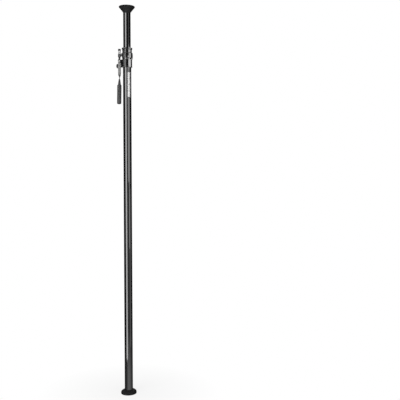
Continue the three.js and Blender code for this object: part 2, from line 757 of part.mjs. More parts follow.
function guideScrew() {
  const headFoot = CARRIAGE_R + SEAT_GAP;
  const screw = cut(
    join(
      rod(GUIDE_SCREW_R, BUSH_R + SEAT_GAP, headFoot + GUIDE_HEAD_H / 2, SCREW_SIDES),
      turned([
        [0, headFoot],
        [GUIDE_HEAD_R, headFoot],
        [GUIDE_HEAD_R, headFoot + GUIDE_HEAD_H / 2],
        [GUIDE_SCREW_R, headFoot + GUIDE_HEAD_H],
        [0, headFoot + GUIDE_HEAD_H],
      ], SCREW_SIDES),
    ),
    rod(GUIDE_HEAD_R / 2, headFoot + GUIDE_HEAD_H / 2, headFoot + GUIDE_HEAD_H + CUT_OVERRUN, HEX_SIDES),
  );
  addPiece('guide_screw', radial(screw, GUIDE_TURN, GUIDE_SCREW_Z), STEEL);
}

function leverPin() {
  const headFoot = FRONT_CHEEK_Y - SEAT_GAP;
  const tail = REAR_CHEEK_Y + PIVOT_TAIL;
  const clipY = REAR_CHEEK_Y + SEAT_GAP;
  const pin = join(
    turned([
      [0, headFoot - PIVOT_HEAD_H],
      [PIVOT_PIN_R, headFoot - PIVOT_HEAD_H],
      [PIVOT_HEAD_R, headFoot - PIVOT_HEAD_H / 2],
      [PIVOT_HEAD_R, headFoot],
      [0, headFoot],
    ], SMALL_SIDES),
    rod(PIVOT_PIN_R, headFoot - PIVOT_HEAD_H / 2, tail),
  );
  const clip = pipe(PIN_CLIP_R, PIVOT_PIN_R + SEAT_GAP, clipY, clipY + PIN_CLIP_T, SMALL_SIDES);
  const place = [PIVOT_X, 0, PIVOT_Z];
  addPiece('lever_pin', moved(pin, place, ALONG_Y), STEEL);
  addPiece('pin_clip', moved(clip, place, ALONG_Y), STEEL);
}

// Sliding carriage

const CONE_TOP_R = COLLET_R + COLLET_SEAT_T / 2;
const CONE_FOOT_R = COLLET_R + SEAT_GAP;

function guideSlot() {
  const half = GUIDE_SCREW_R + SEAT_GAP * 2;
  const low = GUIDE_SCREW_Z - GUIDE_SLOT_BELOW - half;
  const high = GUIDE_SCREW_Z + CARRIAGE_STROKE + GUIDE_SLOT_ABOVE + half;
  const shape = new THREE.Shape();
  shape.absarc(-low - half, 0, half, -Math.PI / 2, Math.PI / 2);
  shape.absarc(-high + half, 0, half, Math.PI / 2, Math.PI * 1.5);
  const flat = new THREE.ExtrudeGeometry(shape, {
    depth: CARRIAGE_R,
    bevelEnabled: false,
    curveSegments: SCREW_SIDES / 2,
  });
  return radial(toSolid(flat.translate(0, 0, INNER_TUBE_R)), GUIDE_TURN, 0);
}

// The bowed tongue that hangs from the carriage past the lower casting
function carriageTongue() {
  const inner = COLLAR_CORNER_R + SEAT_GAP;
  const foot = CARRIAGE_Z - TONGUE_DROP;
  const [middle, half] = [(foot + CARRIAGE_TOP) / 2, (CARRIAGE_TOP - foot) / 2];
  const shape = new THREE.Shape();
  shape.moveTo(SKIRT_BORE_R, CARRIAGE_TOP);
  shape.lineTo(SKIRT_BORE_R, CARRIAGE_Z);
  shape.lineTo(inner, CARRIAGE_Z);
  shape.lineTo(inner, foot);
  shape.absellipse(inner + TONGUE_EDGE, middle, TONGUE_R - inner - TONGUE_EDGE, half, -Math.PI / 2, Math.PI / 2);
  return slab(shape, -TONGUE_W / 2, TONGUE_W / 2, TONGUE_STEPS);
}

function carriageBody() {
  const blank = flatted([
    [0, CARRIAGE_Z],
    [CARRIAGE_R - CARRIAGE_EDGE, CARRIAGE_Z],
    [CARRIAGE_R, CARRIAGE_Z + CARRIAGE_EDGE],
    [CARRIAGE_R, CARRIAGE_TOP - CARRIAGE_SHOULDER],
    [SLEEVE_CORNER_R, CARRIAGE_TOP],
    [0, CARRIAGE_TOP],
  ]);
  const bore = turned([
    [0, CARRIAGE_Z - TONGUE_DROP - CUT_OVERRUN],
    [SKIRT_BORE_R, CARRIAGE_Z - TONGUE_DROP - CUT_OVERRUN],
    [SKIRT_BORE_R, CARRIAGE_CEILING],
    [CONE_FOOT_R, CARRIAGE_CEILING],
    [CONE_FOOT_R, CARRIAGE_CEILING + COLLET_STUB],
    [CONE_TOP_R, CARRIAGE_TOP],
    [CONE_TOP_R, CARRIAGE_TOP + CUT_OVERRUN],
    [0, CARRIAGE_TOP + CUT_OVERRUN],
  ]);
  const screwHoles = [-1, 1].map((side) =>
    radial(
      rod(BRACKET_SCREW_R + SEAT_GAP, INNER_TUBE_R, CARRIAGE_R + CUT_OVERRUN, SCREW_SIDES),
      Math.PI + side * 2 * Math.PI * BRACKET_SCREW_SHARE,
      PAD_Z + PAD_H / 2,
    ),
  );
  addPiece('carriage_body', cut(join(blank, carriageTongue()), bore, guideSlot(), ...screwHoles), BLACK_PAINT);
}

// Adjuster bracket: a curved pad on the carriage, an arm and a barrel

const PAD_Z = CARRIAGE_TOP - CARRIAGE_SHOULDER - PAD_H - SEAT_GAP;
const PAD_INNER_R = CARRIAGE_R + SEAT_GAP;
const PAD_OUTER_R = PAD_INNER_R + PAD_T;

function adjusterBracket() {
  const half = 2 * Math.PI * PAD_HALF_SHARE;
  const sector = new THREE.Shape();
  sector.absarc(0, 0, PAD_OUTER_R, Math.PI - half, Math.PI + half);
  sector.absarc(0, 0, PAD_INNER_R, Math.PI + half, Math.PI - half, true);
  const pad = toSolid(
    new THREE.ExtrudeGeometry(sector, { depth: PAD_H, bevelEnabled: false, curveSegments: CUP_SIDES / 4 }).translate(0, 0, PAD_Z),
  );
  const arm = block(PIVOT_X, -PAD_INNER_R - PAD_T / 2, -ARM_W / 2, ARM_W / 2, PAD_Z + BARREL_EDGE, BARREL_TOP - BARREL_EDGE);
  const barrel = turned([
    [0, BARREL_Z],
    [BARREL_R - BARREL_EDGE, BARREL_Z],
    [BARREL_R, BARREL_Z + BARREL_EDGE],
    [BARREL_R, BARREL_TOP - BARREL_EDGE],
    [BARREL_R - BARREL_EDGE, BARREL_TOP],
    [0, BARREL_TOP],
  ], SMALL_SIDES);
  const bore = turned([
    [0, BARREL_Z - CUT_OVERRUN],
    [ROD_R + SEAT_GAP, BARREL_Z - CUT_OVERRUN],
    [ROD_R + SEAT_GAP, BARREL_TOP - BARREL_WELL_DEPTH],
    [KNOB_SPIGOT_R + SEAT_GAP, BARREL_TOP - BARREL_WELL_DEPTH],
    [KNOB_SPIGOT_R + SEAT_GAP, BARREL_TOP + CUT_OVERRUN],
    [0, BARREL_TOP + CUT_OVERRUN],
  ], SMALL_SIDES);
  const setHole = moved(
    rod(SET_SCREW_R + SEAT_GAP, 0, BARREL_R + CUT_OVERRUN, SCREW_SIDES),
    [PIVOT_X, 0, KNOB_GROOVE_Z],
    [0, -Math.PI / 2, 0],
  );
  const screwHoles = [-1, 1].map((side) =>
    radial(
      rod(BRACKET_SCREW_R + SEAT_GAP, CARRIAGE_R, PAD_OUTER_R + CUT_OVERRUN, SCREW_SIDES),
      Math.PI + side * 2 * Math.PI * BRACKET_SCREW_SHARE,
      PAD_Z + PAD_H / 2,
    ),
  );
  const barrelTools = moved(bore, [PIVOT_X, 0, 0]);
  const whole = join(pad, arm, moved(barrel, [PIVOT_X, 0, 0]));
  addPiece('adjuster_bracket', cut(whole, barrelTools, setHole, ...screwHoles), CAST_GREY);
}

function bracketScrews() {
  [-1, 1].forEach((side, i) => {
    const headFoot = PAD_OUTER_R + SEAT_GAP;
    const screw = cut(
      join(
        rod(BRACKET_SCREW_R, CARRIAGE_R - BRACKET_SCREW_GRIP, headFoot + BRACKET_HEAD_H / 2, SCREW_SIDES),
        rod(BRACKET_HEAD_R, headFoot, headFoot + BRACKET_HEAD_H, SCREW_SIDES),
      ),
      rod(BRACKET_HEAD_R / 2, headFoot + BRACKET_HEAD_H / 2, headFoot + BRACKET_HEAD_H + CUT_OVERRUN, HEX_SIDES),
    );
    const angle = Math.PI + side * 2 * Math.PI * BRACKET_SCREW_SHARE;
    addPiece(`bracket_screw_${i + 1}`, radial(screw, angle, PAD_Z + PAD_H / 2), STEEL);
  });
}

// Push rod with a domed shoe on the cam

function pushRod() {
  const nose = [];
  for (let i = 0; i <= CORNER_STEPS; i += 1) {
    const angle = Math.asin(ROD_SHOE_R / ROD_NOSE_R) * (i / CORNER_STEPS);
    nose.push([ROD_NOSE_R * Math.sin(angle), ROD_NOSE_R * (1 - Math.cos(angle))]);
  }
  const profile = [
    ...nose,
    [ROD_SHOE_R, ROD_DOME_H + ROD_SHOE_H - ROD_EDGE],
    [ROD_SHOE_R - ROD_EDGE, ROD_DOME_H + ROD_SHOE_H],
    [ROD_R, ROD_DOME_H + ROD_SHOE_H],
    [ROD_R, ROD_LENGTH - ROD_EDGE],
    [ROD_R - ROD_EDGE, ROD_LENGTH],
    [0, ROD_LENGTH],
  ];
  addPiece('push_rod', moved(turned(profile, SMALL_SIDES), [PIVOT_X, 0, ROD_Z]), STEEL);
}

// Adjuster knob

const KNOB_GROOVE_Z = BARREL_TOP - BARREL_WELL_DEPTH / 2;

function adjusterKnob() {
  const spigotFoot = BARREL_TOP - BARREL_WELL_DEPTH + SEAT_GAP;
  const [low, lowTop, high, highTop] = KNOB_BAND_SHARES.map((share) => KNOB_Z + KNOB_H * share);
  const bore = ROD_R + SEAT_GAP;
  const grooveR = KNOB_SPIGOT_R - KNOB_GROOVE;
  const knob = turned([
    [bore, spigotFoot],
    [KNOB_SPIGOT_R, spigotFoot],
    [KNOB_SPIGOT_R, KNOB_GROOVE_Z - KNOB_GROOVE_H / 2],
    [grooveR, KNOB_GROOVE_Z - KNOB_GROOVE_H / 2],
    [grooveR, KNOB_GROOVE_Z + KNOB_GROOVE_H / 2],
    [KNOB_SPIGOT_R, KNOB_GROOVE_Z + KNOB_GROOVE_H / 2],
    [KNOB_SPIGOT_R, KNOB_Z],
    [KNOB_R, KNOB_Z],
    [KNOB_R, low],
    [KNOB_R - KNOB_WAIST, lowTop],
    [KNOB_R - KNOB_WAIST, high],
    [KNOB_R, highTop],
    [KNOB_R, KNOB_Z + KNOB_H],
    [bore, KNOB_Z + KNOB_H],
  ], SMALL_SIDES);
  addPiece('adjuster_knob', moved(knob, [PIVOT_X, 0, 0]), STEEL);

  const capZ = KNOB_Z + KNOB_H + SEAT_GAP;
  const capTop = capZ + KNOB_CAP_H;
  const cap = [[0, capZ - KNOB_CAP_SPIGOT_H], [ROD_R, capZ - KNOB_CAP_SPIGOT_H], [ROD_R, capZ], [KNOB_CAP_R, capZ]];
  for (let i = 0; i <= CORNER_STEPS; i += 1) {
    const angle = (Math.PI / 2) * (i / CORNER_STEPS);
    const inset = KNOB_CAP_ROUND * (1 - Math.cos(angle));
    cap.push([KNOB_CAP_R - inset, capTop - KNOB_CAP_ROUND * (1 - Math.sin(angle))]);
  }
  cap.push([0, capTop]);
  addPiece('adjuster_cap', moved(turned(cap, SMALL_SIDES), [PIVOT_X, 0, 0]), PLASTIC);
}

function knobRetainer() {
  const tip = KNOB_SPIGOT_R - KNOB_GROOVE + SEAT_GAP;
  const screw = rod(SET_SCREW_R, tip, BARREL_R - SEAT_GAP, SCREW_SIDES);
  addPiece('knob_retainer', moved(screw, [PIVOT_X, 0, KNOB_GROOVE_Z], [0, -Math.PI / 2, 0]), DARK_STEEL);
}

// One-way clutch and its release sleeve

function clutch() {
  const foot = CARRIAGE_CEILING + SEAT_GAP;
  const lipTop = SLEEVE_TOP - SLEEVE_TOP_WALL - SEAT_GAP;
  const lipFoot = lipTop - COLLET_LIP_H;
  const seatTop = CARRIAGE_TOP;
  const blank = turned([
    [INNER_RUN_R, foot],
    [COLLET_R, foot],
    [COLLET_R, foot + COLLET_STUB],
    [CONE_TOP_R - SEAT_GAP, seatTop],
    [COLLET_R, seatTop],
    [COLLET_R, lipFoot],
    [COLLET_R + COLLET_LIP, lipFoot],
    [COLLET_R + COLLET_LIP, lipTop],
    [INNER_RUN_R, lipTop],
  ]);
  const slit = block(0, SLEEVE_RIM_R, -COLLET_SLIT / 2, COLLET_SLIT / 2, foot - CUT_OVERRUN, lipTop + CUT_OVERRUN);
  addPiece('clutch_collet', cut(blank, slit), DARK_STEEL);

  const grooveR = COLLET_R + COLLET_LIP + SEAT_GAP;
  const outside = flatted([
    [0, SLEEVE_Z],
    [SLEEVE_CORNER_R - SLEEVE_EDGE, SLEEVE_Z],
    [SLEEVE_CORNER_R, SLEEVE_Z + SLEEVE_EDGE],
    [SLEEVE_CORNER_R, SLEEVE_TOP - SLEEVE_RIM_H - SLEEVE_FLARE_H],
    [SLEEVE_RIM_R, SLEEVE_TOP - SLEEVE_RIM_H],
    [SLEEVE_RIM_R, SLEEVE_TOP - SLEEVE_EDGE],
    [SLEEVE_RIM_R - SLEEVE_EDGE, SLEEVE_TOP],
    [0, SLEEVE_TOP],
  ]);
  const inside = turned([
    [0, SLEEVE_Z - CUT_OVERRUN],
    [SLEEVE_BORE_R, SLEEVE_Z - CUT_OVERRUN],
    [SLEEVE_BORE_R, lipFoot - SEAT_GAP],
    [grooveR, lipFoot - SEAT_GAP],
    [grooveR, SLEEVE_TOP - SLEEVE_TOP_WALL],
    [INNER_RUN_R, SLEEVE_TOP - SLEEVE_TOP_WALL],
    [INNER_RUN_R, SLEEVE_TOP + CUT_OVERRUN],
    [0, SLEEVE_TOP + CUT_OVERRUN],
  ]);
  addPiece('release_sleeve', cut(outside, inside), BLACK_PAINT);
}

// Lever: cam head, strip, quarter-turn twist and tang

// The cam's edge under a domed shoe whose centre follows a steady spiral
function camEdge() {
  const centre0 = CAM_R + ROD_NOSE_R;
  const from = THREE.MathUtils.degToRad(-CAM_LEAD_DEG);
  const to = LEVER_OPEN + THREE.MathUtils.degToRad(CAM_TAIL_DEG);
  const edge = [];
  for (let i = 0; i <= CAM_STEPS; i += 1) {
    const turn = from + (to - from) * (i / CAM_STEPS);
    const radius = centre0 - CAM_FALL * turn;
    const centre = new THREE.Vector2(-Math.sin(turn), Math.cos(turn)).multiplyScalar(radius);
    const inward = new THREE.Vector2(radius * Math.sin(turn), -radius * Math.cos(turn));
    inward.x += CAM_FALL * -Math.cos(turn) * -1;
    inward.y += CAM_FALL * -Math.sin(turn) * -1;
    edge.push(centre.add(inward.normalize().multiplyScalar(ROD_NOSE_R)));
  }
  return edge;
}

function camShape(foot) {
  const edge = camEdge();
  const half = STRIP_W / 2;
  const hubEnd = -Math.asin(CAM_FLANK_SHARE);
  const shape = new THREE.Shape();
  shape.moveTo(-half, -CAM_BOSS_FOOT);
  if (foot > CAM_BOSS_FOOT) shape.lineTo(-half, -foot);
  shape.lineTo(half, -foot);
  shape.lineTo(half, CAM_HUB_R * Math.sin(hubEnd));
  shape.absarc(0, 0, CAM_HUB_R, -Math.acos(half / CAM_HUB_R), Math.PI / CORNER_STEPS);
  edge.forEach((point) => shape.lineTo(point.x, point.y));
  return shape;
}

function leanAt(drop) {
  return -Math.max(0, drop - STRIP_LENGTH) * Math.tan(THREE.MathUtils.degToRad(LEAN_DEG));
}

// A rectangle of width w and thickness t, turned round the strip's own length
function stripRing(drop, w, t, turn) {
  const corners = [[-1, -1], [1, -1], [1, 1], [-1, 1]];
  return corners.map(([u, v]) => {
    const corner = new THREE.Vector2((u * w) / 2, (v * t) / 2).rotateAround(new THREE.Vector2(), turn);
    return new THREE.Vector3(corner.x + leanAt(drop), corner.y, -drop);
  });
}

function leverArm() {
  const boss = slab(camShape(CAM_BOSS_FOOT), -CAM_T / 2, CAM_T / 2);
  const strip = slab(camShape(STRIP_LENGTH), -STRIP_T / 2, STRIP_T / 2);
  const rings = [stripRing(STRIP_LENGTH - STRIP_LAP, STRIP_W, STRIP_T, 0)];
  for (let i = 0; i <= TWIST_STEPS; i += 1) {
    const t = i / TWIST_STEPS;
    const ease = t * t * (3 - 2 * t);
    const drop = STRIP_LENGTH + TWIST_LENGTH * t;
    rings.push(stripRing(drop, STRIP_W + (TANG_W - STRIP_W) * ease, STRIP_T, (ease * Math.PI) / 2));
  }
  rings.push(stripRing(STRIP_LENGTH + TWIST_LENGTH + TANG_LENGTH, TANG_W, STRIP_T, Math.PI / 2));
  const pinHole = moved(rod(PIVOT_PIN_R + SEAT_GAP, -CAM_T, CAM_T), [0, 0, 0], ALONG_Y);
  const rivetHoles = [-1, 1].map((side) =>
    moved(rod(HOUSING_RIVET_R + SEAT_GAP, -CAM_T, CAM_T, SCREW_SIDES), rivetPlace(side), ALONG_Y),
  );
  const arm = cut(join(boss, strip, lofted(rings)), pinHole, ...rivetHoles);
  addPiece('lever_arm', moved(arm, [PIVOT_X, 0, PIVOT_Z]), STEEL);
}

// Grip: from a slot-shaped neck to a round handle with a domed end

function gripRing(drop, halfX, halfY) {
  const ring = [];
  for (let i = 0; i < GRIP_SIDES; i += 1) {
    const angle = (-2 * Math.PI * i) / GRIP_SIDES;
    ring.push(new THREE.Vector3(halfX * Math.cos(angle) + leanAt(drop), halfY * Math.sin(angle), -drop));
  }
  return ring;
}

function leverGrip() {
  const rings = [];
  for (let i = 0; i <= GRIP_STEPS; i += 1) {
    const t = i / GRIP_STEPS;
    const drop = GRIP_NECK_START + GRIP_NECK_LENGTH * t;
    rings.push(gripRing(drop, GRIP_NECK_X + (GRIP_NECK_R - GRIP_NECK_X) * t, GRIP_NECK_Y + (GRIP_NECK_R - GRIP_NECK_Y) * t));
  }
  const shoulderTop = GRIP_NECK_START + GRIP_NECK_LENGTH;
  for (let i = 1; i <= GRIP_STEPS; i += 1) {
    const angle = (Math.PI / 2) * (i / GRIP_STEPS);
    const r = GRIP_NECK_R + (GRIP_R - GRIP_NECK_R) * Math.sin(angle);
    rings.push(gripRing(shoulderTop + GRIP_SHOULDER * (1 - Math.cos(angle)), r, r));
  }
  const gripEnd = GRIP_NECK_START + GRIP_LENGTH;
  for (let i = 0; i <= GRIP_STEPS; i += 1) {
    const angle = (Math.PI / 2) * (i / (GRIP_STEPS + 1));
    const r = GRIP_R * Math.cos(angle);
    rings.push(gripRing(gripEnd - GRIP_DOME * (1 - Math.sin(angle)), r, r));
  }
  const tangEnd = STRIP_LENGTH + TWIST_LENGTH + TANG_LENGTH;
  const pocket = lofted([
    stripRing(GRIP_NECK_START - CUT_OVERRUN, TANG_W + SEAT_GAP * 2, STRIP_T + SEAT_GAP * 2, Math.PI / 2),
    stripRing(tangEnd + TANG_SPARE, TANG_W + SEAT_GAP * 2, STRIP_T + SEAT_GAP * 2, Math.PI / 2),
  ]);
  addPiece('lever_grip', moved(cut(lofted(rings), pocket), [PIVOT_X, 0, PIVOT_Z]), PLASTIC);
}

// Push lock riveted to the back of the strip

const HOUSING_Y = STRIP_T / 2 + SEAT_GAP;
const LOCK_Y = HOUSING_Y + LOCK_HOUSING_D / 2;
const LOCK_Z = PIVOT_Z - LOCK_DROP;
const LOCK_BORE_R = LOCK_FLANGE_R + SEAT_GAP;
const FLANGE_X = -LOCK_HOUSING_LEFT + LOCK_WALL + SEAT_GAP;
const LOCK_PLUG_X = LOCK_HOUSING_RIGHT - LOCK_PLUG_T;
const BUTTON_X = -LOCK_HOUSING_LEFT - LOCK_TRAVEL - SEAT_GAP;

function rivetPlace(side) {
  const x = (LOCK_HOUSING_RIGHT - LOCK_HOUSING_LEFT) / 2;
  return [x, 0, -LOCK_DROP + (side * HOUSING_RIVET_SPREAD) / 2];
}

function lockPlace(solid) {
  return moved(solid, [PIVOT_X, LOCK_Y, LOCK_Z], ALONG_X);
}

function pushLock() {
  const outline = roundedShape(
    -LOCK_HOUSING_LEFT,
    -LOCK_DROP - LOCK_HOUSING_H / 2,
    LOCK_HOUSING_RIGHT,
    -LOCK_DROP + LOCK_HOUSING_H / 2,
    LOCK_HOUSING_ROUND,
  );
  const shell = moved(slab(outline, HOUSING_Y, HOUSING_Y + LOCK_HOUSING_D), [PIVOT_X, 0, PIVOT_Z]);
  const bore = lockPlace(rod(LOCK_BORE_R, -LOCK_HOUSING_LEFT + LOCK_WALL, LOCK_HOUSING_RIGHT + CUT_OVERRUN));
  const mouth = lockPlace(rod(LOCK_STEM_R + SEAT_GAP, -LOCK_HOUSING_LEFT - CUT_OVERRUN, 0));
  const rivetHoles = [-1, 1].map((side) => {
    const [x, , z] = rivetPlace(side);
    const hole = rod(HOUSING_RIVET_R + SEAT_GAP, 0, HOUSING_Y + HOUSING_RIVET_GRIP + SEAT_GAP, SCREW_SIDES);
    return moved(hole, [PIVOT_X + x, 0, PIVOT_Z + z], ALONG_Y);
  });
  addPiece('lock_housing', cut(shell, bore, mouth, ...rivetHoles), BLACK_PAINT);

  const plug = pipe(LOCK_FLANGE_R, LOCK_PIN_R + SEAT_GAP, LOCK_PLUG_X, LOCK_HOUSING_RIGHT, SMALL_SIDES);
  addPiece('lock_plug', lockPlace(plug), STEEL);

  const pin = turned([
    [0, BUTTON_X - BUTTON_THREAD_DEPTH],
    [LOCK_STEM_R, BUTTON_X - BUTTON_THREAD_DEPTH],
    [LOCK_STEM_R, FLANGE_X],
    [LOCK_FLANGE_R, FLANGE_X],
    [LOCK_FLANGE_R, FLANGE_X + LOCK_FLANGE_T],
    [LOCK_PIN_R, FLANGE_X + LOCK_FLANGE_T],
    [LOCK_PIN_R, LOCK_HOUSING_RIGHT],
    [0, LOCK_HOUSING_RIGHT],
  ], SMALL_SIDES);
  addPiece('lock_pin', lockPlace(pin), STEEL);

  const head = roundedShape(
    BUTTON_X - BUTTON_T,
    -LOCK_DROP - BUTTON_H / 2,
    BUTTON_X + BUTTON_ROUND,
    -LOCK_DROP + BUTTON_H / 2,
    BUTTON_ROUND,
  );
  const headBlank = moved(slab(head, HOUSING_Y, HOUSING_Y + BUTTON_D), [PIVOT_X, 0, PIVOT_Z]);
  const trim = block(
    PIVOT_X + BUTTON_X,
    PIVOT_X + BUTTON_X + BUTTON_ROUND + CUT_OVERRUN,
    HOUSING_Y - CUT_OVERRUN,
    HOUSING_Y + BUTTON_D + CUT_OVERRUN,
    LOCK_Z - BUTTON_H,
    LOCK_Z + BUTTON_H,
  );
  const socket = lockPlace(rod(LOCK_STEM_R + SEAT_GAP, BUTTON_X - BUTTON_THREAD_DEPTH - SEAT_GAP, BUTTON_X + CUT_OVERRUN));
  addPiece('lock_button', cut(headBlank, trim, socket), PLASTIC);
  addPiece('lock_spring', lockPlace(lockSpring()), STEEL);
}

// Coil spring between the pin's flange and the plug
function lockSpring() {
  const wire = LOCK_SPRING_WIRE;
  const coilR = (LOCK_FLANGE_R + LOCK_PIN_R) / 2;
  const low = FLANGE_X + LOCK_FLANGE_T + SEAT_GAP + wire;
  const high = LOCK_PLUG_X - SEAT_GAP - wire;
  const rings = [];
  const steps = LOCK_SPRING_TURNS * LOCK_SPRING_STEPS;
  for (let i = 0; i <= steps; i += 1) {
    const turn = (2 * Math.PI * i) / LOCK_SPRING_STEPS;
    const z = low + (high - low) * (i / steps);
    const ring = [];
    for (let j = 0; j < LOCK_SPRING_SIDES; j += 1) {
      const angle = (2 * Math.PI * j) / LOCK_SPRING_SIDES;
      const r = coilR + wire * Math.cos(angle);
      ring.push(new THREE.Vector3(r * Math.cos(turn), r * Math.sin(turn), z + wire * Math.sin(angle)));
    }
    rings.push(ring);
  }
  return lofted(rings);
}

function housingRivets() {
  [-1, 1].forEach((side, i) => {
    const [x, , z] = rivetPlace(side);
    const headFoot = -STRIP_T / 2 - SEAT_GAP;
    const rivet = join(
      turned([
        [0, headFoot - HOUSING_RIVET_HEAD_H],
        [HOUSING_RIVET_R, headFoot - HOUSING_RIVET_HEAD_H],
        [HOUSING_RIVET_HEAD_R, headFoot - HOUSING_RIVET_HEAD_H / 2],
        [HOUSING_RIVET_HEAD_R, headFoot],
        [0, headFoot],
      ], SCREW_SIDES),
      rod(HOUSING_RIVET_R, headFoot - HOUSING_RIVET_HEAD_H / 2, HOUSING_Y + HOUSING_RIVET_GRIP, SCREW_SIDES),
    );
    addPiece(`housing_rivet_${i + 1}`, moved(rivet, [PIVOT_X + x, 0, PIVOT_Z + z], ALONG_Y), STEEL);
  });
}

footEnd();
tubes();
topEnd();
collarBody();
pinchFasteners();
guideBush();
guideScrew();
leverPin();
carriageBody();
adjusterBracket();
bracketScrews();
pushRod();
adjusterKnob();
knobRetainer();
clutch();
leverArm();
leverGrip();
pushLock();
housingRivets();

export default group;
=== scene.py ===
"""Dresses a telescopic floor to ceiling tension pole and stands it in a pale studio."""

import json
import math

import bmesh
import bpy
from bpy.props import FloatProperty, FloatVectorProperty, IntProperty, PointerProperty
from bpy.types import Operator, Panel, PropertyGroup
from mathutils import Matrix, Vector


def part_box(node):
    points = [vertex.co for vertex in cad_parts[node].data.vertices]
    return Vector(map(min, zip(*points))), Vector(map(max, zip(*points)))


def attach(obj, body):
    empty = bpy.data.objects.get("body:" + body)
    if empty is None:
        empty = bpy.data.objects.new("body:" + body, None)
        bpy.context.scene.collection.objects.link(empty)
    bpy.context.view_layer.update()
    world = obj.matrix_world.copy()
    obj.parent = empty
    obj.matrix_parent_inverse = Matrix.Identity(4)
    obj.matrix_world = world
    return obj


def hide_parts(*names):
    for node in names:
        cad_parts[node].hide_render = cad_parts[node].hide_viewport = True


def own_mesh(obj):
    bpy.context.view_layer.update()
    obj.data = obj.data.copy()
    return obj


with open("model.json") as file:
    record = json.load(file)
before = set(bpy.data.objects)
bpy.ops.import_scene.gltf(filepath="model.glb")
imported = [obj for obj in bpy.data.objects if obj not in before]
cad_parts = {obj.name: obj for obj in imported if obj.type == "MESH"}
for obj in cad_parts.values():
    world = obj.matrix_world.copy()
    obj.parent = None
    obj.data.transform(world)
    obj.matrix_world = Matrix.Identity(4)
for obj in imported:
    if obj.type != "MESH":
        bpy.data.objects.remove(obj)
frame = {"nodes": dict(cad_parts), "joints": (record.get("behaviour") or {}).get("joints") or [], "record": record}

bl_info = {
    "name": "Tension Pole",
    "version": (1, 0, 0),
    "blender": (4, 5, 0),
    "location": "3D Viewport > Sidebar > Pole",
    "description": "Builds the finished pieces of a floor to ceiling tension pole",
    "category": "Add Mesh",
}

BODY_OF = {
    node: body
    for body, nodes in frame["record"]["behaviour"]["bodies"].items()
    for node in nodes
}
SLOT_OF = {part["node"]: part["material_slot"] for part in frame["record"]["subparts"]}
JOINTS = {joint["name"]: joint for joint in frame["joints"]}
PIVOT = Vector(JOINTS["lever_swing"]["pos_m"])
MM = 0.001
SEAM = 0.36 * MM  # Width of the handle's moulding line
CAD_WELD = 0.002 * MM  # Corners of a CAD mesh that lie closer than this are one
SPUN_WELD = 0.0001 * MM  # The same for the corners of a spun shape on its axis
FLAT_WITHIN = math.radians(0.8)  # Faces that meet at less than this are one flat
WHITE = (1, 1, 1, 1)
BLACK = (0, 0, 0, 1)


def extent(node):
    """Radius and lowest and highest point of a node that is round about the pole's axis."""
    low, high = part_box(node)
    return high.x, low.z, high.z


def length(name, millimetres, description):
    """A length, written in millimetres and kept in metres."""
    return FloatProperty(
        name=name,
        description=description,
        default=millimetres * MM,
        min=0.0,
        subtype="DISTANCE",
        unit="LENGTH",
        precision=5,
    )


def angle(name, degrees, description):
    """An angle, written in degrees and kept in radians."""
    return FloatProperty(
        name=name, description=description, default=math.radians(degrees), subtype="ANGLE"
    )


def tint(name, colour, description):
    return FloatVectorProperty(
        name=name,
        description=description,
        default=colour,
        min=0.0,
        max=1.0,
        size=3,
        subtype="COLOR",
    )


def lamp_power(name, watts, description):
    return FloatProperty(
        name=name, description=description, default=watts, min=0.0, subtype="POWER"
    )


def brightness(name, share, description):
    """A level between black, 0, and the backdrop's white, 1."""
    return FloatProperty(
        name=name, description=description, default=share, min=0.0, max=1.0, subtype="FACTOR"
    )


# Values that a user would change


class PoleSizes(PropertyGroup):
    """Sizes that the CAD model leaves to this script"""

    turned_steps: IntProperty(
        name="Turned steps", description="Faces round a turned piece", default=120, min=24
    )
    small_steps: IntProperty(
        name="Small turned steps", description="Faces round a small piece", default=56, min=12
    )
    tube_wall: length("Tube wall", 1.5, "Wall of both tubes")
    edge: length("Edge", 0.35, "Rounding of machined edges")
    soft_edge: length("Soft edge", 0.7, "Rounding of cast and moulded edges")
    foot_band: length("Foot band", 7.0, "Height of the straight band round the floor cup")
    top_band: length("Top band", 2.5, "Height of the straight band round the ceiling cup")
    cup_land: length("Cup land", 9.5, "Width of the flat ring that presses on floor or ceiling")
    cup_hollow: length("Cup hollow", 3.0, "Depth of the hollow inside that ring")
    cup_well: length("Screw well", 9.0, "Radius and depth of the well for the screw")
    cup_bore: length("Screw bore", 3.3, "Radius of the hole for the screw")
    knurl: length("Knurl", 0.28, "Depth of the knurl on the adjuster's bands")
    strip: length("Lever strip", 60.0, "From the lever's pivot down to its twist")
    strip_wide: length("Strip width", 15.4, "Width of the lever's strip")
    twist: length("Twist", 31.0, "Length of the quarter turn in the strip")
    tang: length("Tang width", 10.0, "Width of the strip inside the handle")
    lean: angle("Lean", 1, "How far the handle leans outward")
    label_width: length("Label width", 21.0, "Width of the label, measured round the tube")
    label_length: length("Label length", 136.0, "Length of the label")
    label_top: length("Label top", 24.0, "Distance from the lower casting down to the label")


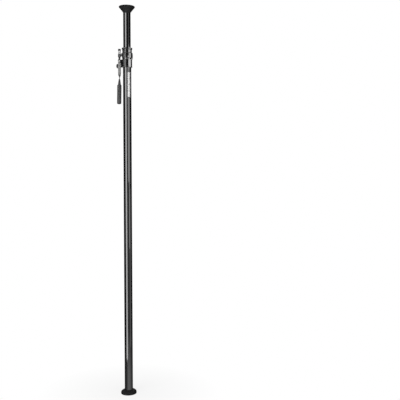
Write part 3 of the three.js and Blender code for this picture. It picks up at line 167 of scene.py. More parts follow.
class PoleColours(PropertyGroup):
    """Colours of the finishes, which vary a little about them"""

    rubber: tint("Rubber", (0.012, 0.012, 0.0125), "Rubber cups")
    plastic: tint("Black plastic", (0.012, 0.012, 0.0125), "Cap, plugs and push button")
    grip: tint("Grip", (0.022, 0.022, 0.0225), "Moulded handle")
    bush: tint("Bush", (0.58, 0.58, 0.54), "Bearing plastic")
    zinc: tint("Zinc", (0.52, 0.52, 0.51), "Plated fasteners")
    hardened: tint("Hardened steel", (0.26, 0.26, 0.262), "Dark steel")
    lever: tint("Lever steel", (0.27, 0.27, 0.267), "Forged and ground lever")
    chrome: tint("Chrome", (0.80, 0.80, 0.80), "Polished adjuster")
    bracket: tint("Bracket", (0.13, 0.13, 0.133), "As-cast grey alloy")
    tube: tint("Tube", (0.006, 0.006, 0.0064), "Black finished tube")
    casting: tint("Casting", (0.007, 0.007, 0.0074), "Black paint on the castings")
    label_film: tint("Label film", (0.17, 0.17, 0.175), "Grey ground of the label")
    label_mark: tint("Label mark", (0.86, 0.86, 0.85), "Pale bars of the label")
    floor: tint("Floor", (0.86, 0.86, 0.86), "Studio floor")


class StudioSettings(PropertyGroup):
    """Camera, lamps and levels of the studio"""

    camera_distance: length("Camera distance", 3200, "From the pole to the camera, straight back")
    camera_side: length("Camera side", 392, "How far the camera stands to the right of the pole")
    camera_aim: length("Camera aim", 1064, "Height at which the camera's axis meets the pole")
    camera_pitch: angle("Camera pitch", 2.55, "How far the camera looks down")
    camera_lens: FloatProperty(
        name="Camera lens", description="Focal length", default=53.05, subtype="DISTANCE_CAMERA"
    )
    main_lamp: lamp_power("Main lamp", 9.0, "Softbox on the left")
    side_lamp: lamp_power("Side lamp", 3.2, "Broad softbox on the right")
    middle_lamp: lamp_power("Middle lamp", 0.55, "Small softbox under the broad one")
    low_lamp: lamp_power("Low lamp", 0.6, "Faint softbox low on the right")
    edge_lamp: lamp_power("Edge lamp", 0.17, "Narrow lamp beside the upper tube")
    lock_lamp: lamp_power("Lock lamp", 0.16, "Small lamp beside the lock")
    top_lamp: lamp_power("Top lamp", 9.0, "Wide lamp above")
    ambient: brightness("Ambient", 0.15, "Level of the room's light")
    dark_sides: brightness("Dark sides", 0.015, "Room beside the backdrop, as shiny pieces see it")
    # Painted light: levels of the floor's painted glow, which only shiny pieces see, bright round the pole and
    # dark far off
    painted_glow_far: brightness("Dark floor", 0.14, "Floor far beside the pole, as shiny pieces see it")
    painted_glow_near: brightness("Near floor", 0.6, "Floor round the pole, as shiny pieces see it")
    floor_white: brightness("Floor white", 0.86, "How white the floor looks round the pole's foot")


def sizes():
    return bpy.context.scene.pole_sizes


def colours():
    return bpy.context.scene.pole_colours


# Shader maths


class Wire:
    """A socket in a material, with the arithmetic of a number."""

    def __init__(self, graph, socket):
        self.graph = graph
        self.socket = socket

    def calc(self, operation, first, second):
        return self.graph.add("ShaderNodeMath", 0, {"operation": operation}, {0: first, 1: second})

    def __add__(self, other):
        return self.calc("ADD", self, other)

    def __radd__(self, other):
        return self.calc("ADD", other, self)

    def __sub__(self, other):
        return self.calc("SUBTRACT", self, other)

    def __rsub__(self, other):
        return self.calc("SUBTRACT", other, self)

    def __mul__(self, other):
        return self.calc("MULTIPLY", self, other)

    def __rmul__(self, other):
        return self.calc("MULTIPLY", other, self)

    def __truediv__(self, other):
        return self.calc("DIVIDE", self, other)

    def __lt__(self, other):
        return self.calc("LESS_THAN", self, other)

    def __gt__(self, other):
        return self.calc("GREATER_THAN", self, other)


class Graph:
    """A node tree that is written one expression at a time."""

    def __init__(self, tree):
        self.tree = tree
        tree.nodes.clear()

    def add(self, kind, output, settings=None, inputs=None):
        """Adds a node: its settings come first, then the values or wires of its sockets."""
        node = self.tree.nodes.new(kind)
        for name, value in (settings or {}).items():
            setattr(node, name, value)
        for name, value in (inputs or {}).items():
            if isinstance(value, Wire):
                self.tree.links.new(value.socket, node.inputs[name])
            else:
                node.inputs[name].default_value = value
        return Wire(self, node.outputs[output]) if output is not None else node

    def within(self, value, low, high):
        """1 where the value lies between low and high, and 0 outside."""
        return (value > low) * (value < high)

    def place(self):
        """Object coordinates, in metres from the pole's foot."""
        return self.add("ShaderNodeTexCoord", "Object")

    def parts(self, vector):
        node = self.add("ShaderNodeSeparateXYZ", None, {}, {0: vector})
        return [Wire(self, node.outputs[axis]) for axis in "XYZ"]

    def stretched(self, vector, scale):
        inputs = {0: vector, 1: scale}
        return self.add("ShaderNodeVectorMath", 0, {"operation": "MULTIPLY"}, inputs)

    def turn(self, x, y):
        """Angle round the pole's axis, in radians."""
        return self.add("ShaderNodeMath", 0, {"operation": "ARCTAN2"}, {0: y, 1: x})

    def fraction(self, value):
        return self.add("ShaderNodeMath", 0, {"operation": "FRACT"}, {0: value})

    def larger(self, first, second):
        return self.add("ShaderNodeMath", 0, {"operation": "MAXIMUM"}, {0: first, 1: second})

    def root(self, value):
        return self.add("ShaderNodeMath", 0, {"operation": "SQRT"}, {0: value})

    def noise(self, vector, scale, detail=3.0, rough=0.55):
        inputs = {"Vector": vector, "Scale": scale, "Detail": detail, "Roughness": rough}
        return self.add("ShaderNodeTexNoise", "Fac", {}, inputs)

    def cells(self, vector, scale):
        return self.add("ShaderNodeTexVoronoi", "Distance", {}, {"Vector": vector, "Scale": scale})

    def spread(self, value, low, high, out_low=0.0, out_high=1.0):
        """Maps low to high onto the output range, and holds it there."""
        inputs = {"Value": value, "From Min": low, "From Max": high}
        inputs |= {"To Min": out_low, "To Max": out_high}
        return self.add("ShaderNodeMapRange", 0, {"clamp": True}, inputs)

    def blend(self, factor, first, second):
        """Mixes two colours, whose sockets follow those for numbers and vectors."""
        inputs = {0: factor, 6: first, 7: second}
        return self.add("ShaderNodeMix", 2, {"data_type": "RGBA"}, inputs)

    def bump(self, height, distance, strength=1.0):
        """Height runs over distance, in metres."""
        inputs = {"Strength": strength, "Distance": distance, "Height": height}
        return self.add("ShaderNodeBump", 0, {}, inputs)

    def between(self, factor, first, second):
        """Mixes two shaders."""
        return self.add("ShaderNodeMixShader", 0, {}, {0: factor, 1: first, 2: second})

    def ray(self, *kinds):
        """1 for rays of the given kinds, 0 for others."""
        node = self.add("ShaderNodeLightPath", None)
        wires = [Wire(self, node.outputs[f"Is {kind} Ray"]) for kind in kinds]
        return sum(wires[1:], wires[0])


def rgba(colour, level=1.0):
    return tuple(min(1.0, channel * level) for channel in colour) + (1.0,)


def finish(name, fill):
    """A material whose surface is what fill returns for its principled shader's sockets."""
    material = bpy.data.materials.new(name)
    material.use_nodes = True
    graph = Graph(material.node_tree)
    surface = graph.add("ShaderNodeBsdfPrincipled", "BSDF", {}, fill(graph))
    graph.add("ShaderNodeOutputMaterial", None, {}, {"Surface": surface})
    return material


# Finishes

LACQUER = {"Specular IOR Level": 0.9, "Coat Weight": 1.0, "Coat IOR": 1.8}


def moulded_rubber():
    """Matt rubber with a fine skin, faint flow marks and paler dust."""
    base = colours().rubber

    def fill(graph):
        place = graph.place()
        skin = graph.noise(place, 2600, 4)
        dust = graph.spread(graph.noise(place, 60, 5, 0.7), 0.45, 0.75)
        return {
            "Base Color": graph.blend(dust, rgba(base, 0.85), rgba(base, 1.5)),
            "Roughness": graph.spread(skin, 0.3, 0.7, 0.62, 0.82),
            "Specular IOR Level": 0.25,
            "Normal": graph.bump(skin + 0.6 * dust, 0.00009, 0.6),
        }

    return finish("moulded rubber", fill)


def black_plastic():
    """Moulded plastic with a spark-eroded grain that is rubbed smoother in places."""
    base = colours().plastic

    def fill(graph):
        place = graph.place()
        pits = graph.cells(place, 1500)
        rubbed = graph.spread(graph.noise(place, 45, 4, 0.6), 0.4, 0.7)
        return {
            "Base Color": graph.blend(rubbed, rgba(base, 0.88), rgba(base, 1.2)),
            "Roughness": 0.42 + 0.08 * pits - 0.07 * rubbed,
            "Specular IOR Level": 0.5,
            "Normal": graph.bump(pits, 0.00006, 0.5),
        }

    return finish("black plastic", fill)


def grip_plastic():
    """Satin plastic with a moulding line down each side."""
    base = colours().grip

    def fill(graph):
        place = graph.place()
        across = graph.parts(place)[1]
        pits = graph.cells(place, 1700)
        patches = graph.noise(graph.stretched(place, (1, 1, 0.4)), 70, 5, 0.65)
        handled = graph.spread(patches, 0.4, 0.72)
        seam = graph.within(across, -SEAM / 2, SEAM / 2)
        return {
            "Base Color": graph.blend(handled, rgba(base, 0.85), rgba(base, 1.25)),
            "Roughness": 0.42 + 0.08 * pits - 0.08 * handled,
            "Specular IOR Level": 0.75,
            "Normal": graph.bump(0.35 * pits + seam, 0.00016, 0.7),
        }

    return finish("grip plastic", fill)


def drawn_tube():
    """Black finish on a drawn tube: long draw lines, a few scuffs, uneven gloss."""
    base = colours().tube

    def fill(graph):
        place = graph.place()
        lines = graph.noise(graph.stretched(place, (1, 1, 0.004)), 900, 3, 0.6)
        cloud = graph.noise(graph.stretched(place, (1, 1, 0.25)), 14, 4, 0.6)
        scuffs = graph.noise(graph.stretched(place, (1, 1, 0.08)), 240, 5, 0.75)
        rubbed = graph.spread(scuffs, 0.62, 0.8)
        return LACQUER | {
            "Base Color": graph.blend(rubbed, rgba(base, 0.9), rgba(base, 2.2)),
            "Roughness": 0.08 + 0.06 * cloud + 0.05 * lines + 0.12 * rubbed,
            "Coat Roughness": 0.06,
            "Normal": graph.bump(lines, 0.00003, 0.35),
        }

    return finish("drawn tube", fill)


def painted_casting():
    """Black paint over a die casting: orange peel, cast grain and worn spots."""
    base = colours().casting

    def fill(graph):
        place = graph.place()
        peel = graph.noise(place, 520, 2, 0.5)
        grain = graph.noise(place, 2400, 3, 0.6)
        worn = graph.spread(graph.noise(place, 130, 6, 0.75), 0.68, 0.8)
        return LACQUER | {
            "Base Color": graph.blend(worn, rgba(base, 0.9), rgba(base, 3.5)),
            "Roughness": 0.11 + 0.05 * grain + 0.22 * worn,
            "Coat Roughness": 0.09,
            "Normal": graph.bump(peel + 0.3 * grain, 0.00003, 0.3),
        }

    return finish("painted casting", fill)


def ground_steel():
    """Satin forged steel, brushed along the lever and left mottled on its cam."""
    base = colours().lever

    def fill(graph):
        place = graph.place()
        height = graph.parts(place)[2]
        brushed = graph.noise(graph.stretched(place, (1, 1, 0.02)), 2600, 3, 0.6)
        scale = graph.noise(place, 420, 5, 0.7)
        forged = graph.spread(height, PIVOT.z - 4 * MM, PIVOT.z + 2 * MM)
        ground = graph.blend(brushed, rgba(base, 0.8), rgba(base, 1.15))
        raw = graph.blend(graph.spread(scale, 0.35, 0.65), rgba(base, 0.16), rgba(base, 0.42))
        return {
            "Base Color": graph.blend(forged, ground, raw),
            "Metallic": 1.0,
            "Roughness": 0.34 + 0.14 * brushed + 0.12 * forged,
            "Normal": graph.bump(brushed * (1 - forged) + 1.5 * scale * forged, 0.00004, 0.5),
        }

    return finish("ground steel", fill)


def plated(name, base, rough, streaks=(1, 1, 1)):
    """Plated or hardened steel with a slightly cloudy surface."""

    def fill(graph):
        place = graph.place()
        cloud = graph.noise(place, 260, 4, 0.65)
        fine = graph.noise(graph.stretched(place, streaks), 3000, 2, 0.5)
        return {
            "Base Color": graph.blend(cloud, rgba(base, 0.82), rgba(base, 1.15)),
            "Metallic": 1.0,
            "Roughness": rough + 0.10 * cloud + 0.05 * fine,
            "Normal": graph.bump(fine, 0.00002, 0.3),
        }

    return finish(name, fill)


def cast_alloy():
    """As-cast alloy with a coarse sandy skin and darker hollows."""
    base = colours().bracket

    def fill(graph):
        place = graph.place()
        sand = graph.noise(place, 1300, 4, 0.65)
        patches = graph.spread(graph.noise(place, 190, 5, 0.7), 0.35, 0.7)
        return {
            "Base Color": graph.blend(patches, rgba(base, 0.6), rgba(base, 1.5)),
            "Metallic": 0.85,
            "Roughness": 0.42 + 0.16 * sand,
            "Normal": graph.bump(sand, 0.00012, 0.6),
        }

    return finish("cast alloy", fill)


def bearing_plastic():
    """Pale bearing plastic with faint turning marks."""
    base = colours().bush

    def fill(graph):
        place = graph.place()
        marks = graph.noise(graph.stretched(place, (0.02, 0.02, 1)), 2200, 2, 0.5)
        cloud = graph.noise(place, 80, 3, 0.5)
        return {
            "Base Color": graph.blend(cloud, rgba(base, 0.92), rgba(base, 1.04)),
            "Roughness": 0.42 + 0.1 * marks,
            "Normal": graph.bump(marks, 0.00003, 0.4),
        }

    return finish("bearing plastic", fill)


FINISHES = {
    "rubber": moulded_rubber,
    "black_plastic": black_plastic,
    "grip_plastic": grip_plastic,
    "bush_plastic": bearing_plastic,
    "fastener_steel": lambda: plated("zinc plate", colours().zinc, 0.26),
    "clutch_steel": lambda: plated("hardened steel", colours().hardened, 0.42),
    "lever_steel": ground_steel,
    "knob_chrome": lambda: plated("polished chrome", colours().chrome, 0.07, (0.02, 0.02, 1)),
    "bracket_grey": cast_alloy,
    "tube_black": drawn_tube,
    "casting_black": painted_casting,
}
MADE = {}


def material_for(slot):
    """The finish of one of the record's material slots, made once."""
    if slot not in MADE:
        MADE[slot] = FINISHES[slot]()
    return MADE[slot]


# Making pieces


def add_piece(
    name, shape, like, material=None, edge=None, crease=35, replaces=True, segments=2
):
    """Turns a bmesh into a finished piece that rides and is finished like a CAD node."""
    bmesh.ops.recalc_face_normals(shape, faces=shape.faces)
    mesh = bpy.data.meshes.new(name)
    shape.to_mesh(mesh)
    shape.free()
    mesh.shade_smooth()
    mesh.set_sharp_from_angle(angle=math.radians(crease))
    mesh.materials.append(material or material_for(SLOT_OF[like]))
    piece = bpy.data.objects.new(name, mesh)
    bpy.context.scene.collection.objects.link(piece)
    if edge:
        bevel = piece.modifiers.new("Rounded edges", "BEVEL")
        bevel.width = edge
        bevel.segments = segments
        bevel.limit_method = "ANGLE"
        bevel.angle_limit = math.radians(crease)
        bevel.use_clamp_overlap = True
        bevel.harden_normals = True
    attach(piece, BODY_OF[like])
    if replaces:
        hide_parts(like)
    return piece


def spun(outline, steps, centre=(0, 0, 0)):
    """Swings a closed outline of (radius, height) round an upright axis through centre."""
    shape = bmesh.new()
    centre = Vector(centre)
    corners = [shape.verts.new(centre + Vector((out, 0, height))) for out, height in outline]
    ring = [shape.edges.new(pair) for pair in zip(corners, corners[1:])]
    if outline[0][0] > 0:
        ring.append(shape.edges.new((corners[-1], corners[0])))
    bmesh.ops.spin(
        shape,
        geom=corners + ring,
        cent=centre,
        axis=(0, 0, 1),
        angle=2 * math.pi,
        steps=steps,
        use_merge=True,
    )
    bmesh.ops.remove_doubles(shape, verts=shape.verts, dist=SPUN_WELD)
    return shape


def tidied(node):
    """A copy of a CAD node's mesh with its doubles merged and its flat faces made whole."""
    shape = bmesh.new()
    shape.from_mesh(frame["nodes"][node].data)
    bmesh.ops.remove_doubles(shape, verts=shape.verts, dist=CAD_WELD)
    bmesh.ops.dissolve_limit(
        shape, angle_limit=FLAT_WITHIN, verts=shape.verts, edges=shape.edges
    )
    return shape


def refined(node, name, edge, crease=28):
    """The CAD node's own shape with rounded edges, its large flat faces shaded flat."""
    piece = add_piece(name, tidied(node), node, edge=edge, crease=crease)
    level = piece.modifiers.new("Flat faces", "WEIGHTED_NORMAL")
    level.mode = "FACE_AREA"
    level.weight = 90
    level.keep_sharp = True
    return piece


def finish_nodes(*names):
    """Gives CAD nodes that stay their own finish."""
    for name in names:
        mesh = frame["nodes"][name].data
        mesh.materials.clear()
        mesh.materials.append(material_for(SLOT_OF[name]))


def arc(centre, radius, start, end, count):
    """Points of a circular arc, with its angles in degrees."""
    turns = [math.radians(start + (end - start) * i / count) for i in range(count + 1)]
    return [
        (centre[0] + radius * math.cos(turn), centre[1] + radius * math.sin(turn))
        for turn in turns
    ]


def eased(points, steps):
    """A smooth row of points through the given ones, each span weighing its four nearest."""
    ends = [points[0], *points, points[-1]]
    row = []
    for near in zip(ends, ends[1:], ends[2:], ends[3:]):
        for i in range(steps):
            t = i / steps
            weights = (
                -t + 2 * t**2 - t**3,
                2 - 5 * t**2 + 3 * t**3,
                t + 4 * t**2 - 3 * t**3,
                t**3 - t**2,
            )
            row.append(
                tuple(sum(w * point[k] for w, point in zip(weights, near)) / 2 for k in (0, 1))
            )
    return row + [points[-1]]


class POLE_OT_tubes(Operator):
    """Both tubes, with their ends rounded"""

    bl_idname = "tension_pole.tubes"
    bl_label = "Tubes"
    bl_options = {"REGISTER", "UNDO"}

    def execute(self, context):
        for node, name in (("outer_tube", "lower_tube"), ("inner_tube", "upper_tube")):
            radius, low, high = extent(node)
            bore = radius - sizes().tube_wall
            outline = [(bore, low), (radius, low), (radius, high), (bore, high)]
            add_piece(name, spun(outline, sizes().turned_steps), node, edge=sizes().edge)
        finish_nodes("slide_bush", "foot_plug", "top_plug")
        return {"FINISHED"}


class POLE_OT_cups(Operator):
    """The rubber cups with their bands, flares and hollows"""

    bl_idname = "tension_pole.cups"
    bl_label = "End cups"
    bl_options = {"REGISTER", "UNDO"}

    # Points of each flare: shares of the way out from neck to rim and up from band to neck
    DOME = ((1, 0), (0.93, 0.3), (0.72, 0.6), (0.42, 0.84), (0.14, 0.96), (0, 1))
    CONE = ((1, 0), (0.96, 0.06), (0.5, 0.47), (0.09, 0.88), (0, 1))
    FLARE_STEPS = 5
    FOOT_NECK_WALL = 1.5 * MM
    TOP_NECK_INSET = 0.6 * MM

    def outline(self, rim, neck, height, band, shares):
        """The cup standing on its rim, from the screw's bore out and up to its neck."""
        size = sizes()
        rise = height - band
        points = [(neck + (rim - neck) * out, band + rise * up) for out, up in shares]
        flare = [(min(rim, radius), level) for radius, level in eased(points, self.FLARE_STEPS)]
        return [
            (size.cup_bore, size.cup_well),
            (size.cup_well, size.cup_well),
            (size.cup_well, size.cup_hollow),
            (rim - size.cup_land, size.cup_hollow),
            (rim - size.cup_land + size.cup_hollow / 3, 0),
            (rim, 0),
            *flare,
            (size.cup_bore, height),
        ]

    def execute(self, context):
        size = sizes()
        foot, top = extent("foot_cup"), extent("top_cup")
        neck = extent("outer_tube")[0] + self.FOOT_NECK_WALL
        outline = self.outline(foot[0], neck, foot[2] - foot[1], size.foot_band, self.DOME)
        shape = spun(outline, size.turned_steps)
        add_piece("floor_cup", shape, "foot_cup", edge=size.soft_edge, segments=3)
        neck = extent("inner_tube")[0] - self.TOP_NECK_INSET
        outline = self.outline(top[0], neck, top[2] - top[1], size.top_band, self.CONE)
        outline = [(radius, top[2] - height) for radius, height in outline]
        shape = spun(outline, size.turned_steps)
        add_piece("ceiling_cup", shape, "top_cup", edge=size.soft_edge, segments=3)
        for end in ("foot", "top"):
            refined(f"{end}_washer", f"{end}_end_washer", edge=0.15 * MM)
            refined(f"{end}_screw", f"{end}_end_screw", edge=0.2 * MM)
        return {"FINISHED"}


class POLE_OT_castings(Operator):
    """Lower casting, sliding casting and release sleeve"""

    bl_idname = "tension_pole.castings"
    bl_label = "Castings"
    bl_options = {"REGISTER", "UNDO"}

    CREASE = 20  # The twelve flats meet at 30 degrees

    def execute(self, context):
        refined("collar_body", "lower_casting", edge=0.45 * MM, crease=self.CREASE)
        refined("carriage_body", "sliding_casting", edge=0.4 * MM, crease=self.CREASE)
        refined("release_sleeve", "sleeve", edge=0.5 * MM, crease=self.CREASE)
        finish_nodes("guide_bush", "clutch_collet")
        return {"FINISHED"}


class POLE_OT_fasteners(Operator):
    """Screws, nuts, the lever's pin and its clip"""

    bl_idname = "tension_pole.fasteners"
    bl_label = "Fasteners"
    bl_options = {"REGISTER", "UNDO"}

    def execute(self, context):
        for node in ("pinch_screw_1", "pinch_screw_2", "bracket_screw_1", "bracket_screw_2"):
            refined(node, node.replace("screw", "socket_screw"), edge=0.18 * MM)
        guide = refined("guide_screw", "guide_socket_screw", edge=0.18 * MM)
        # The carriage's slot, which runs over its head, keeps it bright
        guide.data.materials[0] = plated("bright zinc", colours().chrome, 0.2)
        for node in ("pinch_nut_1", "pinch_nut_2"):
            refined(node, node.replace("nut", "hex_nut"), edge=0.25 * MM)
        refined("lever_pin", "pivot_pin", edge=0.2 * MM)
        refined("pin_clip", "retaining_clip", edge=0.15 * MM)
        return {"FINISHED"}


class POLE_OT_adjuster(Operator):
    """Bracket, push rod, turning knob and its cap"""

    bl_idname = "tension_pole.adjuster"
    bl_label = "Fine adjuster"
    bl_options = {"REGISTER", "UNDO"}

    GAP = 0.3 * MM  # From the barrel to the knob, and from the knob to its cap
    KNOB_BORE = 4.3 * MM
    SPIGOT = 5.4 * MM
    WAIST_DEPTH = 0.8 * MM
    BAND = 0.16  # Height of each knurled band, as a share of the knob's
    SHOULDER = 0.22  # Height at which the waist begins
    HOLLOW = 2.2  # Radius of the waist's curve, in heights of the knob
    HOLLOW_SWEEP = 7.3  # Degrees of that curve on each side of its middle
    HOLLOW_STEPS = 8
    RIM = 0.05 * MM  # Corners within this of the knob's widest radius are knurled
    CAP_STEM = 4 * MM
    CAP_CORNER = 1.6 * MM
    CORNER_STEPS = 6
    CAP_DISH = 3.0 * MM
    DISH_DEPTH = 0.5 * MM
    DISH_SLOPE = 0.4 * MM  # Width of the slope down into the dish

    def knob(self):
        """Spigot, two knurled bands and a hollow waist between them."""
        low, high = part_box("adjuster_knob")
        radius = (high.x - low.x) / 2
        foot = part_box("adjuster_bracket")[1].z + self.GAP
        tall = high.z - foot
        waist = radius - self.WAIST_DEPTH
        middle = (waist + self.HOLLOW * tall, foot + 0.5 * tall)
        sweep = self.HOLLOW_SWEEP
        outline = [
            (self.KNOB_BORE, low.z),
            (self.SPIGOT, low.z),
            (self.SPIGOT, foot),
            (radius, foot),
            (radius, foot + self.BAND * tall),
            (waist, foot + self.SHOULDER * tall),
            *arc(middle, self.HOLLOW * tall, 180 + sweep, 180 - sweep, self.HOLLOW_STEPS),
            (waist, foot + (1 - self.SHOULDER) * tall),
            (radius, foot + (1 - self.BAND) * tall),
            (radius, high.z),
            (self.KNOB_BORE, high.z),
        ]
        steps = sizes().small_steps * 2
        shape = spun(outline, steps, (PIVOT.x, PIVOT.y, 0))
        for vert in shape.verts:
            away = Vector((vert.co.x - PIVOT.x, vert.co.y - PIVOT.y, 0))
            turn = round(math.atan2(away.y, away.x) / (2 * math.pi) * steps)
            if away.length > radius - self.RIM and turn % 2:
                vert.co -= away.normalized() * sizes().knurl
        return shape

    def cap(self):
        """Black cap on a stem, with a shallow dish in its top."""
        low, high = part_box("adjuster_cap")
        radius = (high.x - low.x) / 2
        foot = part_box("adjuster_knob")[1].z + self.GAP
        corner, floor = self.CAP_CORNER, high.z - self.DISH_DEPTH
        outline = [
            (0, low.z),
            (self.CAP_STEM, low.z),
            (self.CAP_STEM, foot),
            (radius, foot),
            *arc((radius - corner, high.z - corner), corner, 0, 90, self.CORNER_STEPS),
            (self.CAP_DISH + self.DISH_SLOPE, high.z),
            (self.CAP_DISH, floor),
            (0, floor),
        ]
        return spun(outline, sizes().small_steps, (PIVOT.x, PIVOT.y, 0))

    def execute(self, context):
        refined("adjuster_bracket", "adjuster_arm", edge=0.4 * MM)
        refined("push_rod", "cam_rod", edge=0.2 * MM)
        add_piece("turning_knob", self.knob(), "adjuster_knob", edge=0.12 * MM, crease=40)
        add_piece("knob_cap", self.cap(), "adjuster_cap", edge=0.2 * MM)
        finish_nodes("knob_retainer")
        return {"FINISHED"}


class POLE_OT_lever(Operator):
    """Forged lever arm and its moulded handle"""

    bl_idname = "tension_pole.lever"
    bl_label = "Lever"
    bl_options = {"REGISTER", "UNDO"}

    TWIST_STEPS = 44

    def forging(self):
        """The CAD node's head and strip, then a finer quarter-turn twist and tang below them."""
        size = sizes()
        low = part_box("lever_arm")[0].z
        start = PIVOT.z - size.strip
        shape = tidied("lever_arm")
        cut = bmesh.ops.bisect_plane(
            shape,
            geom=shape.verts[:] + shape.edges[:] + shape.faces[:],
            plane_co=(0, 0, start),
            plane_no=(0, 0, -1),
            clear_outer=True,
        )
        edges = [item for item in cut["geom_cut"] if isinstance(item, bmesh.types.BMEdge)]
        level = start
        wide, twisted = 1.0, 0.0
        for step in range(1, self.TWIST_STEPS + 2):
            share = min(1.0, step / self.TWIST_STEPS)
            ease = share * share * (3 - 2 * share)
            height = start - size.twist * share if step <= self.TWIST_STEPS else low
            grown = bmesh.ops.extrude_edge_only(shape, edges=edges)["geom"]
            corners = [item for item in grown if isinstance(item, bmesh.types.BMVert)]
            edges = [item for item in grown if isinstance(item, bmesh.types.BMEdge)]
            edges = [edge for edge in edges if all(vert in corners for vert in edge.verts)]
            narrow = 1 + (size.tang / size.strip_wide - 1) * ease
            back = Matrix.Rotation(-twisted, 2)
            on = Matrix.Rotation(ease * math.pi / 2, 2)
            old = Vector((PIVOT.x - (start - level) * math.tan(size.lean), PIVOT.y))
            new = Vector((PIVOT.x - (start - height) * math.tan(size.lean), PIVOT.y))
            for vert in corners:
                flat = back @ (vert.co.xy - old)
                flat = on @ Vector((flat.x * narrow / wide, flat.y)) + new
                vert.co = (flat.x, flat.y, height)
            level, wide, twisted = height, narrow, ease * math.pi / 2
        bmesh.ops.contextual_create(shape, geom=edges)
        return shape

    def execute(self, context):
        add_piece("lever_forging", self.forging(), "lever_arm", edge=0.35 * MM, crease=28)
        shape = tidied("lever_grip")
        handle = add_piece("handle", shape, "lever_grip", edge=0.6 * MM, segments=3)
        smooth = handle.modifiers.new("Smooth", "SUBSURF")
        smooth.levels = smooth.render_levels = 1
        return {"FINISHED"}


class POLE_OT_lock(Operator):
    """Push lock on the back of the lever"""

    bl_idname = "tension_pole.lock"
    bl_label = "Push lock"
    bl_options = {"REGISTER", "UNDO"}

    TURNS = 3
    WIRE = 0.3 * MM  # Radius of the spring's wire
    WIRE_SIDES = 8
    TURN_STEPS = 16

    def spring(self):
        """A coil of wire from the bolt's flange to the plug."""
        low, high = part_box("lock_spring")
        middle = (low + high) / 2
        start = Vector((low.x + self.WIRE, middle.y, high.z - self.WIRE))
        steps = self.TURNS * self.TURN_STEPS
        shape = bmesh.new()
        ring = bmesh.ops.create_circle(
            shape,
            segments=self.WIRE_SIDES,
            radius=self.WIRE,
            matrix=Matrix.Translation(start) @ Matrix.Rotation(math.pi / 2, 4, "X"),
        )["verts"]
        bmesh.ops.spin(
            shape,
            geom=ring + shape.edges[:],
            cent=middle,
            axis=(1, 0, 0),
            dvec=((high.x - low.x - 2 * self.WIRE) / steps, 0, 0),
            angle=2 * math.pi * self.TURNS,
            steps=steps,
        )
        ends = [edge for edge in shape.edges if edge.is_boundary]
        bmesh.ops.holes_fill(shape, edges=ends, sides=self.WIRE_SIDES)
        return shape

    def execute(self, context):
        refined("lock_housing", "lock_case", edge=0.4 * MM)
        refined("lock_button", "lock_press", edge=0.9 * MM)
        refined("lock_pin", "lock_bolt", edge=0.15 * MM)
        for side in (1, 2):
            refined(f"housing_rivet_{side}", f"case_rivet_{side}", edge=0.15 * MM)
        coil = add_piece("lock_coil", self.spring(), "lock_spring", crease=60)
        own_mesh(coil)
        finish_nodes("lock_plug")
        return {"FINISHED"}


class POLE_OT_label(Operator):
    """Plain label with pale bars, wrapped on the lower tube"""

    bl_idname = "tension_pole.label"
    bl_label = "Label"
    bl_options = {"REGISTER", "UNDO"}

    TURN = 31.5  # Degrees from the front to the label's middle
    LIFT = 0.02 * MM  # From the tube to the film
    FILM = 0.12 * MM  # Thickness of the film
    FILM_STEPS = 18
    # From where to where the bars and ticks run, as shares of the label's width or length
    BAR_SIDES = (0.22, 0.70)
    BAR_ENDS = (0.02, 0.98)
    TICK_SIDES = (0.78, 0.92)
    # How many there are, and what share of each space is a gap or a tick
    BARS, BAR_GAP = 4.0, 0.05
    TICKS, TICK_LENGTH = 24.0, 0.4

    def top(self):
        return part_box("collar_body")[0].z - sizes().label_top

    def film(self):
        """Grey film with a column of pale bars and a row of ticks."""
        size = sizes()
        radius = extent("outer_tube")[0]
        film, mark = rgba(colours().label_film), rgba(colours().label_mark)

        def fill(graph):
            place = graph.place()
            x, y, z = graph.parts(place)
            round_tube = graph.turn(x, y)
            across = (round_tube + math.radians(90 - self.TURN)) * radius / size.label_width + 0.5
            down = (self.top() - z) / size.label_length
            column = graph.within(across, *self.BAR_SIDES) * graph.within(down, *self.BAR_ENDS)
            bars = column * (graph.fraction(down * self.BARS) > self.BAR_GAP)
            ticks = graph.fraction(down * self.TICKS) < self.TICK_LENGTH
            ticks = ticks * graph.within(across, *self.TICK_SIDES)
            soft = graph.noise(place, 900, 3)
            return {
                "Base Color": graph.blend(bars, graph.blend(ticks * 0.5, film, mark), mark),
                "Roughness": 0.34 + 0.08 * soft,
                "Normal": graph.bump(soft, 0.00002, 0.3),
            }

        return finish("label film", fill)

    def execute(self, context):
        size = sizes()
        radius = extent("outer_tube")[0] + self.LIFT
        wide = size.label_width / radius
        start = math.radians(self.TURN - 90) - wide / 2
        shape = bmesh.new()
        side = [
            shape.verts.new((radius * math.cos(start), radius * math.sin(start), height))
            for height in (self.top() - size.label_length, self.top())
        ]
        bmesh.ops.spin(
            shape,
            geom=side + [shape.edges.new(side)],
            cent=(0, 0, 0),
            axis=(0, 0, 1),
            angle=wide,
            steps=self.FILM_STEPS,
        )
        bmesh.ops.solidify(shape, geom=shape.faces[:], thickness=self.FILM)
        add_piece("label", shape, "outer_tube", material=self.film(), replaces=False)
        return {"FINISHED"}


